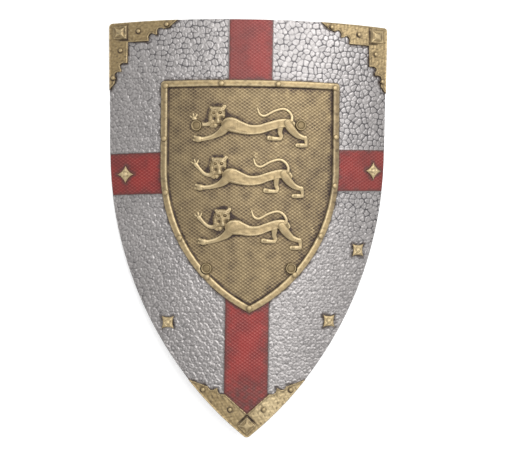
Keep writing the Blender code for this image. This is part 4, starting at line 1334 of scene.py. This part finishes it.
def ranged(tree, value, low, high, to_low=0.0, to_high=1.0):
    """Bring a value from one range to another, held at its ends."""
    node = add_node(tree, "ShaderNodeMapRange", {
        "From Min": low, "From Max": high, "To Min": to_low, "To Max": to_high,
    })
    tree.links.new(value, node.inputs["Value"])
    return node.outputs["Result"]


def times(tree, first, second):
    """Multiply a value by another, which may be a plain number."""
    node = add_node(tree, "ShaderNodeMath", operation="MULTIPLY")
    for socket, value in zip(node.inputs, (first, second)):
        if isinstance(value, (int, float)):
            socket.default_value = value
        else:
            tree.links.new(value, socket)
    return node.outputs["Value"]


def blended(tree, share, first, second):
    """Mix two colours by a share; each may be a colour or a socket."""
    node = add_node(tree, "ShaderNodeMix", data_type="RGBA", clamp_factor=True)
    tree.links.new(share, node.inputs["Factor"])
    for name, value in (("A", first), ("B", second)):
        socket = next(s for s in node.inputs if s.name == name and s.type == "RGBA")
        if isinstance(value, bpy.types.NodeSocket):
            tree.links.new(value, socket)
        else:
            socket.default_value = (*value, 1)
    return next(s for s in node.outputs if s.type == "RGBA")


def dimmed(tree, colour, share):
    """Multiply a colour by a value."""
    node = add_node(tree, "ShaderNodeVectorMath", operation="SCALE")
    tree.links.new(colour, node.inputs[0])
    tree.links.new(share, node.inputs["Scale"])
    return node.outputs["Vector"]


def new_finish(name):
    """An empty material with a Principled surface."""
    material = bpy.data.materials.get(name)
    if material:
        bpy.data.materials.remove(material)
    material = bpy.data.materials.new(name)
    material.use_nodes = True
    return material, material.node_tree, material.node_tree.nodes["Principled BSDF"]


def washed(tree, colour, finishes, share):
    """Lay the brown wash and painted shade over a colour, as thickly as the surface's trait says.
    """
    return blended(tree, times(tree, trait(tree, "wash_and_shade"), share), colour, finishes.wash_and_shade)


def worked_surface(tree, surface, colour, grain, rough, metal, pits):
    """Give a surface its colour, roughness, metal and fine pits.

    The grain is the size of the roughness's patches; the pits have a size and a depth.
    """
    tree.links.new(colour, surface.inputs["Base Color"])
    rough = ranged(tree, noise(tree, grain), 0.3, 0.7, *rough)
    tree.links.new(rough, surface.inputs["Roughness"])
    surface.inputs["Metallic"].default_value = metal
    bump = add_node(tree, "ShaderNodeBump", {"Distance": pits[1], "Strength": 1.0})
    tree.links.new(noise(tree, pits[0], 4.0), bump.inputs["Height"])
    tree.links.new(bump.outputs["Normal"], surface.inputs["Normal"])


def hammered_silver(finishes):
    """Silvered steel, bright on the hammer marks and dark in the grooves between them, with painted
    light and shade.
    """
    material, tree, surface = new_finish("hammered_silver")
    marks = blended(tree, noise(tree, 0.0022), finishes.silver_dull, finishes.silver)
    marks = dimmed(tree, marks, ranged(tree, trait(tree, "tone_and_painted_light"), -3, 3, 0.72, 1.26))
    marks = dimmed(tree, marks, ranged(tree, noise(tree, 0.06, 4.0), 0.35, 0.68, 0.9, 1.06))
    groove = ranged(tree, trait(tree, "groove"), 0.25, 0.95)
    colour = blended(tree, times(tree, groove, 0.92), marks, finishes.groove)
    colour = washed(tree, colour, finishes, 0.85)
    worked_surface(tree, surface, colour, 0.004, (0.32, 0.46), 0.8, (0.0012, 0.00012))
    return material


def red_enamel(finishes):
    """Dull red enamel, worn to a pale pink on the ridges, darkened near its borders with wash and
    painted shade.
    """
    material, tree, surface = new_finish("worn_red_enamel")
    clouds = ranged(tree, noise(tree, 0.026, 4.0), 0.36, 0.6)
    red = blended(tree, clouds, finishes.enamel_deep, finishes.enamel)
    red = dimmed(tree, red, ranged(tree, trait(tree, "ridge"), 0.0, 0.35, 0.8, 1.0))
    worn = ranged(tree, trait(tree, "ridge"), 0.4, 1.0)
    worn = times(tree, worn, ranged(tree, noise(tree, 0.02, 4.0), 0.35, 0.6, 0.3, 0.85))
    colour = blended(tree, worn, red, finishes.enamel_worn)
    colour = washed(tree, colour, finishes, 0.66)
    worked_surface(tree, surface, colour, 0.003, (0.32, 0.5), 0.15, (0.0014, 0.0001))
    return material


def antique_brass(finishes, name="antique_brass", dullness=1.0):
    """Antique brass, with a brown wash and painted shade in its hollows, and worn bright edges and
    painted highlights.
    """
    material, tree, surface = new_finish(name)
    metal = blended(tree, noise(tree, 0.007, 4.0), finishes.brass_dull, finishes.brass)
    cloudy = ranged(tree, noise(tree, 0.05), 0.3, 0.7, 0.9 * dullness, 1.1 * dullness)
    worn = times(tree, trait(tree, "wear_and_highlight"), 0.85)
    colour = blended(tree, worn, dimmed(tree, metal, cloudy), finishes.brass_worn)
    soaked = ranged(tree, noise(tree, 0.015, 4.0), 0.3, 0.7, 0.7, 1.3)
    colour = washed(tree, colour, finishes, soaked)
    speck = ranged(tree, noise(tree, 0.0016, 5.0), 0.62, 0.75, 0.0, 0.5)
    colour = blended(tree, speck, colour, finishes.wash_and_shade)
    worked_surface(tree, surface, colour, 0.004, (0.4, 0.56), 0.8, (0.0018, 0.00015))
    return material


def plain_floor(finishes):
    """Plain pale floor that glows a little."""
    material, tree, surface = new_finish("pale_floor")
    shade = [0.985 * tint for tint in finishes.floor]
    colour = blended(tree, noise(tree, 0.8), finishes.floor, shade)
    tree.links.new(colour, surface.inputs["Base Color"])
    surface.inputs["Roughness"].default_value = 0.9
    surface.inputs["Emission Color"].default_value = (1, 1, 1, 1)
    surface.inputs["Emission Strength"].default_value = FLOOR_GLOW
    return material


def brass_finish():
    """The brass that all mounts and fixings share."""
    made = bpy.data.materials.get("antique_brass")
    return made or antique_brass(bpy.context.scene.shield_finishes)


class ShieldSizes(bpy.types.PropertyGroup):
    """Sizes of the worked surfaces."""

    mark_size: FloatProperty(
        name="Hammer mark", description="Width of one hammer mark", default=0.0079,
        unit="LENGTH", subtype="DISTANCE",
    )
    mark_tilt: FloatProperty(
        name="Tilt of marks", description="Slope of the hammer marks, each its own way",
        default=0.065,
    )
    groove_width: FloatProperty(
        name="Groove width", description="Half the width of the groove between marks",
        default=0.001, unit="LENGTH", subtype="DISTANCE",
    )
    groove_depth: FloatProperty(
        name="Groove depth", description="Depth of the groove between marks", default=0.0007,
        unit="LENGTH", subtype="DISTANCE",
    )
    diamond_across: FloatProperty(
        name="Diamond across", description="Width of a diamond of the knurling", default=0.007,
        unit="LENGTH", subtype="DISTANCE",
    )
    diamond_along: FloatProperty(
        name="Diamond along", description="Height of a diamond of the knurling", default=0.00495,
        unit="LENGTH", subtype="DISTANCE",
    )
    ridge_height: FloatProperty(
        name="Ridge height", description="Height of the ridges under the enamel", default=0.00038,
        unit="LENGTH", subtype="DISTANCE",
    )


class ShieldFinishes(bpy.types.PropertyGroup):
    """Colours of the metals, the enamel and the floor."""

    silver: FloatVectorProperty(
        name="Silver", description="Bright silver of the hammer marks",
        default=(0.412, 0.389, 0.384), subtype="COLOR",
    )
    silver_dull: FloatVectorProperty(
        name="Dull silver", description="Dulled silver of the hammer marks",
        default=(0.313, 0.296, 0.287), subtype="COLOR",
    )
    groove: FloatVectorProperty(
        name="Groove", description="Dark metal between the hammer marks",
        default=(0.07, 0.066, 0.07), subtype="COLOR",
    )
    # Brown of the wash, also laid as painted shade and shadow.
    wash_and_shade: FloatVectorProperty(
        name="Wash", description="Brown wash in the hollows", default=(0.05, 0.035, 0.03),
        subtype="COLOR",
    )
    enamel: FloatVectorProperty(
        name="Enamel", description="Red enamel", default=(0.275, 0.019, 0.015), subtype="COLOR",
    )
    enamel_deep: FloatVectorProperty(
        name="Deep enamel", description="Darker red of the enamel", default=(0.185, 0.013, 0.012),
        subtype="COLOR",
    )
    enamel_worn: FloatVectorProperty(
        name="Worn enamel", description="Pale worn ridges of the enamel",
        default=(0.42, 0.13, 0.11), subtype="COLOR",
    )
    # Bright brass of the worn edges, also laid as painted highlights.
    brass: FloatVectorProperty(
        name="Brass", description="Antique brass", default=(0.355, 0.262, 0.135), subtype="COLOR",
    )
    brass_dull: FloatVectorProperty(
        name="Dull brass", description="Dulled brass",
        default=(0.255, 0.188, 0.096), subtype="COLOR",
    )
    brass_worn: FloatVectorProperty(
        name="Worn brass", description="Bright worn edges of the brass", default=(0.62, 0.5, 0.3),
        subtype="COLOR",
    )
    floor: FloatVectorProperty(
        name="Floor", description="Colour of the floor",
        default=(0.92, 0.92, 0.92), subtype="COLOR",
    )


class ShieldStage(bpy.types.PropertyGroup):
    """Strengths of the studio light."""

    room_light: FloatProperty(name="Room light", description="Light from all round", default=0.77)
    key_power: FloatProperty(
        name="Key light", description="Power of the large light overhead", default=30.0,
        unit="POWER",
    )
    side_power: FloatProperty(
        name="Side light", description="Power of the light low at the upper right", default=10.0,
        unit="POWER",
    )


def shield_web(pitch):
    """Points of a web that fills the shield up to half a pitch from its edge."""
    points = web(*SHIELD_BOX, pitch)
    return points[inset_of(points, SHIELD_LOOP) > pitch / 2]


class SHIELD_OT_field(bpy.types.Operator):
    """Make the bowed plate of hammered steel with its sunk cross"""

    bl_idname = "shield.field"
    bl_label = "Hammered Field"

    def execute(self, context):
        points = shield_web(FIELD_PITCH)
        covered = inset_of(points, ESCUTCHEON_LOOP) > RIM_WIDTH / 2
        inside = into_cross(points)
        plain = covered | (inside > HIDDEN_LAP)
        coarse = shield_web(HIDDEN_PITCH)
        hidden = inset_of(coarse, ESCUTCHEON_LOOP) > RIM_WIDTH / 2 + HIDDEN_LAP
        hidden |= into_cross(coarse) > 2 * HIDDEN_LAP
        lines = np.vstack([cross_lines(0.0), cross_lines(CROSS_WALL)])
        lines = lines[inset_of(lines, SHIELD_LOOP) > LINE_CLEAR]
        lines = lines[inset_of(lines, ESCUTCHEON_LOOP) < RIM_WIDTH / 2]
        near_line = (np.abs(inside - CROSS_WALL / 2) < LINE_CLEAR) & ~plain
        points = np.vstack([points[~plain & ~near_line], coarse[hidden], lines])
        mesh = sheet_mesh(
            "hammered_field", [evenly(SHIELD_LOOP, EDGE_PITCH)], points,
            field_top(context.scene.shield_sizes), -PLATE_THICKNESS,
        )
        steel = hammered_silver(context.scene.shield_finishes)
        shown("hammered_field", mesh, steel, "shield_plate")
        return {"FINISHED"}


class SHIELD_OT_cross(bpy.types.Operator):
    """Lay the enamelled panels into the four arms of the sunk cross"""

    bl_idname = "shield.cross"
    bl_label = "Enamelled Cross"

    def execute(self, context):
        sizes = context.scene.shield_sizes
        enamel = red_enamel(context.scene.shield_finishes)
        edge = shrunk(SHIELD_LOOP, PANEL_EDGE_GAP)
        under = shrunk(ESCUTCHEON_LOOP, PANEL_TUCK)
        points = diamond_web(*SHIELD_BOX, *diamond_size(sizes), GROUND_STEPS)
        points = points[into_cross(points) > CROSS_WALL + 1.0]
        points = points[inset_of(points, edge) > PANEL_CLEAR]
        points = points[inset_of(points, under) < -PANEL_CLEAR]
        for name, right, up in (("top", 0, 1), ("bottom", 0, -1), ("left", -1, 0), ("right", 1, 0)):
            loop = self.panel_loop(right, up)

            def keep(spots):
                return ((inset_of(spots, edge) > 0) & (inset_of(spots, under) < 0)
                        & (inset_of(spots, loop) > 0))
            mesh = sheet_mesh(
                f"enamel_{name}", [evenly(loop, EDGE_PITCH), edge, under],
                points[inset_of(points, loop) > 0.5], enamel_top(sizes), -CROSS_DEPTH, keep,
            )
            shown(f"enamel_{name}", mesh, enamel)
        return {"FINISHED"}

    def panel_loop(self, right, up):
        """Corners of one arm of the cross, a little inside its walls, from the middle outward."""
        inset = CROSS_WALL + PANEL_GAP
        if up:
            along = Vector((math.sin(STEM_LEAN), math.cos(STEM_LEAN))) * up
            aside = Vector((math.cos(STEM_LEAN), -math.sin(STEM_LEAN)))
            low, high = -STEM_HALF_WIDTH + inset, STEM_HALF_WIDTH - inset
        else:
            along = Vector((math.cos(ARM_RISE), math.sin(ARM_RISE))) * right
            aside = Vector((-math.sin(ARM_RISE), math.cos(ARM_RISE)))
            low, high = ARM_BOTTOM + inset, ARM_TOP - inset
        near, far = along * PANEL_START, along * CROSS_REACH
        corners = (near + aside * low, far + aside * low, far + aside * high, near + aside * high)
        loop = np.array([tuple(corner) for corner in corners])
        run = np.roll(loop, -1, axis=0)
        area = (loop[:, 0] * run[:, 1] - loop[:, 1] * run[:, 0]).sum()
        return loop if area > 0 else loop[::-1].copy()


class SHIELD_OT_escutcheon(bpy.types.Operator):
    """Cast the escutcheon with its rim, diamond ground and three walking lions"""

    bl_idname = "shield.escutcheon"
    bl_label = "Escutcheon"

    def execute(self, context):
        sizes = context.scene.shield_sizes
        low, high = ESCUTCHEON_LOOP.min(axis=0), ESCUTCHEON_LOOP.max(axis=0)
        across, along = diamond_size(sizes)
        ground = diamond_web(low, high, across, along, GROUND_STEPS)
        ground = ground[all_lions(ground) < -LION_SINK]
        around = np.array([(0, 0), (1, 0), (-1, 0), (0, 1), (0, -1)]) * LION_MARGIN
        for count, within in ((LION_STEPS, True), (HEAD_STEPS, False)):
            cast = diamond_web(low, high, across, along, count)
            cast = cast[near_heads(cast) != within]
            cast = cast[np.any([all_lions(cast + way) > -LION_SINK for way in around], axis=0)]
            steps = np.array([(across, along), (across, -along)]) / (2 * count)
            cast = snapped(cast, steps, lambda spots: all_lions(spots) > 0)
            ground = np.vstack([ground, cast])
        ground = np.unique(ground.round(4), axis=0)
        ground = ground[inset_of(ground, ESCUTCHEON_LOOP) > RIM_WIDTH + 1.0]
        for place in STUDS.values():
            away = np.linalg.norm(ground - place, axis=1)
            ground = ground[np.abs(away - STUD_POCKET) > POCKET_CLEAR]
        rings = [ring_inside(ESCUTCHEON_LOOP, inset) for inset in RIM_INSETS[1:]]
        turns = np.arange(POCKET_SIDES) * (2 * math.pi / POCKET_SIDES)
        circle = np.column_stack([np.cos(turns), np.sin(turns)])
        pockets = [np.array(place) + circle * radius for place in STUDS.values()
                   for radius in (STUD_POCKET - POCKET_WALL, STUD_POCKET + POCKET_WALL)]
        mesh = sheet_mesh(
            "lion_escutcheon_cast", [evenly(ESCUTCHEON_LOOP, EDGE_PITCH)],
            np.vstack([ground, *rings, *pockets]), escutcheon_top(sizes), CLEARANCE,
        )
        shown("lion_escutcheon_cast", mesh, brass_finish(), "lion_escutcheon")
        return {"FINISHED"}


def make_mount(name, node, loop, centre, turn, rivets, seed):
    """Make one cropped mount with its star block."""
    points = web(loop.min(axis=0), loop.max(axis=0), MOUNT_PITCH)
    points = points[into_mount(points, loop) > MOUNT_PITCH / 2]
    loops = [evenly(loop, MOUNT_PITCH), evenly(SHIELD_LOOP, EDGE_PITCH)]
    top = mount_top(loop, centre, turn, rivets, seed)
    mesh = sheet_mesh(name, loops, points, top, CLEARANCE,
                      lambda spots: into_mount(spots, loop) > 0)
    shown(name, mesh, brass_finish(), node)


class SHIELD_OT_corner_mounts(bpy.types.Operator):
    """Make the two corner mounts with their cusped arms and star blocks"""

    bl_idname = "shield.corner_mounts"
    bl_label = "Corner Mounts"

    def execute(self, context):
        for side, word in ((-1, "left"), (1, "right")):
            centre = (side * CORNER_BLOCK[0], CORNER_BLOCK[1])
            rivets = [(side * x, y) for x, y in CORNER_RIVETS]
            make_mount(f"corner_casting_{word}", f"corner_mount_{word}", CORNER_LOOPS[side],
                       centre, 0.0, rivets, CORNER_SEEDS[side])
        return {"FINISHED"}


class SHIELD_OT_chape(bpy.types.Operator):
    """Make the chape over the shield's tip"""

    bl_idname = "shield.chape"
    bl_label = "Chape"

    def execute(self, context):
        make_mount("chape_casting", "chape", CHAPE_LOOP, CHAPE_BLOCK, math.pi / 4,
                   both_sides(CHAPE_RIVETS), CHAPE_SEED)
        return {"FINISHED"}


def shank_and_tail(seat_height):
    """Lower profile of a fixing whose head sits at seat_height, clenched behind the plate."""
    tail = -PLATE_THICKNESS - CLEARANCE - seat_height
    return [
        (SHANK_RADIUS, 0), (SHANK_RADIUS, tail), (TAIL_RADIUS, tail),
        (0.8 * TAIL_RADIUS, tail - 0.6 * TAIL_HEIGHT), (0, tail - TAIL_HEIGHT),
    ]


def dome(radius, height):
    """Profile of a low domed head, from its middle outward."""
    turns = [math.pi / 2 * step / ARC_STEPS for step in range(ARC_STEPS)]
    rings = [(radius * math.sin(turn), height * math.cos(turn) ** 0.8) for turn in turns]
    return rings + [(radius, 0)]


class SHIELD_OT_stars(bpy.types.Operator):
    """Make the free stars on the cross and on the field"""

    bl_idname = "shield.stars"
    bl_label = "Stars"

    def execute(self, context):
        loop = star_outline(STAR_RADIUS, STAR_WAIST)
        points = web(loop.min(axis=0), loop.max(axis=0), STAR_PITCH)
        points = points[inset_of(points, loop) > STAR_PITCH / 2]
        mesh = sheet_mesh("star", [evenly(loop, STAR_EDGE_PITCH)], points, star_top(loop), 0.0,
                          shape=upright)
        for name, (x, y, turn) in STARS.items():
            star = shown(f"{name}_casting", mesh, brass_finish(), name)
            seat(star, x, y, CLEARANCE, math.radians(turn))
        return {"FINISHED"}


class SHIELD_OT_studs(bpy.types.Operator):
    """Make the four large flat-headed studs"""

    bl_idname = "shield.studs"
    bl_label = "Studs"

    def execute(self, context):
        stud_seat = GROUND_HEIGHT + CLEARANCE
        head = [(radius, STUD_HEIGHT - drop) for radius, drop in STUD_DROPS]
        profile = head + shank_and_tail(stud_seat)
        mesh = turned_mesh("stud", profile, STUD_SIDES, STUD_WEAR_KEENNESS)
        finish = antique_brass(context.scene.shield_finishes, "dull_brass", STUD_DULLNESS)
        for name, (x, y) in STUDS.items():
            stud = shown(f"{name}_head", mesh, finish, name)
            seat(stud, x, y, stud_seat)
        return {"FINISHED"}


class SHIELD_OT_rivets(bpy.types.Operator):
    """Make every rivet through the rim, the corner mounts and the chape"""

    bl_idname = "shield.rivets"
    bl_label = "Rivets"

    def execute(self, context):
        rim_seat = RIM_HEIGHT + CLEARANCE
        mount_seat = max(MOUNT_HEIGHTS) + CLEARANCE
        profile = dome(RIM_RIVET_RADIUS, RIM_RIVET_HEIGHT) + shank_and_tail(rim_seat)
        rim = turned_mesh("rim_rivet", profile, RIM_RIVET_SIDES)
        profile = dome(SMALL_RIVET_RADIUS, SMALL_RIVET_HEIGHT) + shank_and_tail(mount_seat)
        small = turned_mesh("small_rivet", profile, SMALL_RIVET_SIDES)
        for number, (x, y) in enumerate(rim_rivet_places(), 1):
            self.add(f"rim_rivet_{number:02d}", rim, x, y, rim_seat)
        for number, (x, y) in enumerate(CORNER_RIVETS, 1):
            self.add(f"corner_rivet_left_{number}", small, -x, y, mount_seat)
            self.add(f"corner_rivet_right_{number}", small, x, y, mount_seat)
        for number, (x, y) in enumerate(both_sides(CHAPE_RIVETS), 1):
            self.add(f"chape_rivet_{number}", small, x, y, mount_seat)
        return {"FINISHED"}

    def add(self, node, mesh, x, y, h):
        """Set one rivet in place of its node."""
        rivet = shown(f"{node}_head", mesh, brass_finish(), node)
        seat(rivet, x, y, h)


def add_camera():
    """Camera straight over the lying shield, as square on as in the photograph."""
    turn, rise, roll = CAMERA_TURN, CAMERA_RISE, CAMERA_ROLL
    level = math.cos(rise)
    back = Vector((math.sin(turn) * level, math.sin(rise), math.cos(turn) * level))
    right = Vector((0, 1, 0)).cross(back).normalized()
    up = back.cross(right)
    tilted_right = right * math.cos(roll) + up * math.sin(roll)
    tilted_up = up * math.cos(roll) - right * math.sin(roll)
    place = (Vector((*CAMERA_TARGET, CREST)) + back * CAMERA_DISTANCE) * MM
    camera = bpy.data.objects.new("Camera", bpy.data.cameras.new("Camera"))
    camera.matrix_world = Matrix((
        (tilted_right.x, tilted_up.x, back.x, place.x),
        (tilted_right.y, tilted_up.y, back.y, place.y),
        (tilted_right.z, tilted_up.z, back.z, place.z),
        (0, 0, 0, 1),
    ))
    camera.data.sensor_width = SENSOR_WIDTH
    camera.data.lens = FOCAL_IN_WIDTHS * SENSOR_WIDTH
    bpy.context.scene.collection.objects.link(camera)
    bpy.context.scene.camera = camera


def add_light(name, place, aim, width, height, power):
    """A soft rectangular light that faces a point, with places in metres."""
    lamp = bpy.data.lights.new(name, "AREA")
    lamp.shape = "RECTANGLE"
    lamp.size = width
    lamp.size_y = height
    lamp.energy = power
    light = bpy.data.objects.new(name, lamp)
    light.location = place
    light.rotation_euler = (Vector(place) - Vector(aim)).to_track_quat("Z", "Y").to_euler()
    bpy.context.scene.collection.objects.link(light)


class SHIELD_OT_stage(bpy.types.Operator):
    """Set up the floor, the soft studio light and the camera"""

    bl_idname = "shield.stage"
    bl_label = "Stage"

    def execute(self, context):
        scene = context.scene
        stage = scene.shield_stage
        mesh = bpy.data.meshes.new("floor")
        low = min(CAD_BOX[0].z, 0.0)
        corners = [(FLOOR_REACH * x, FLOOR_REACH * y, low)
                   for x, y in ((-1, -1), (1, -1), (1, 1), (-1, 1))]
        mesh.from_pydata(corners, [], [(0, 1, 2, 3)])
        mesh.materials.append(plain_floor(scene.shield_finishes))
        floor = bpy.data.objects.new("floor", mesh)
        scene.collection.objects.link(floor)
        world = bpy.data.worlds.new("room")
        world.use_nodes = True
        sky = world.node_tree.nodes["Background"]
        sky.inputs["Color"].default_value = (1, 1, 1, 1)
        sky.inputs["Strength"].default_value = stage.room_light
        scene.world = world
        add_light("key", *KEY_LIGHT, stage.key_power)
        add_light("side", *SIDE_LIGHT, stage.side_power)
        scene.view_settings.view_transform = "Standard"
        add_camera()
        return {"FINISHED"}


class SHIELD_PT_panel(bpy.types.Panel):
    """Steps that dress the shield"""

    bl_label = "Heater Shield"
    bl_idname = "SHIELD_PT_panel"
    bl_space_type = "VIEW_3D"
    bl_region_type = "UI"
    bl_category = "Shield"

    def draw(self, context):
        for group in ("shield_sizes", "shield_finishes", "shield_stage"):
            values = getattr(context.scene, group)
            box = self.layout.box()
            for name in values.__annotations__:
                box.prop(values, name)
        for step in STEPS:
            self.layout.operator(step.bl_idname)


STEPS = (
    SHIELD_OT_stage, SHIELD_OT_field, SHIELD_OT_cross, SHIELD_OT_escutcheon,
    SHIELD_OT_corner_mounts, SHIELD_OT_chape, SHIELD_OT_stars, SHIELD_OT_studs, SHIELD_OT_rivets,
)
GROUPS = {
    "shield_sizes": ShieldSizes, "shield_finishes": ShieldFinishes, "shield_stage": ShieldStage,
}


def register():
    """Register the settings, the steps and the panel."""
    for group in (*GROUPS.values(), *STEPS, SHIELD_PT_panel):
        bpy.utils.register_class(group)
    for name, group in GROUPS.items():
        setattr(bpy.types.Scene, name, PointerProperty(type=group))


def unregister():
    """Take the settings, the steps and the panel out again."""
    for name in GROUPS:
        delattr(bpy.types.Scene, name)
    for group in (SHIELD_PT_panel, *reversed(STEPS), *GROUPS.values()):
        bpy.utils.unregister_class(group)


def main():
    """Dress the shield step by step."""
    register()
    for thing in list(bpy.context.scene.objects):
        if thing.name in ("Cube", "Light", "Camera"):
            bpy.data.objects.remove(thing)
    bpy.ops.shield.stage()
    bpy.ops.shield.field()
    bpy.ops.shield.cross()
    bpy.ops.shield.escutcheon()
    bpy.ops.shield.corner_mounts()
    bpy.ops.shield.chape()
    bpy.ops.shield.stars()
    bpy.ops.shield.studs()
    bpy.ops.shield.rivets()


if __name__ == "__main__":
    main()
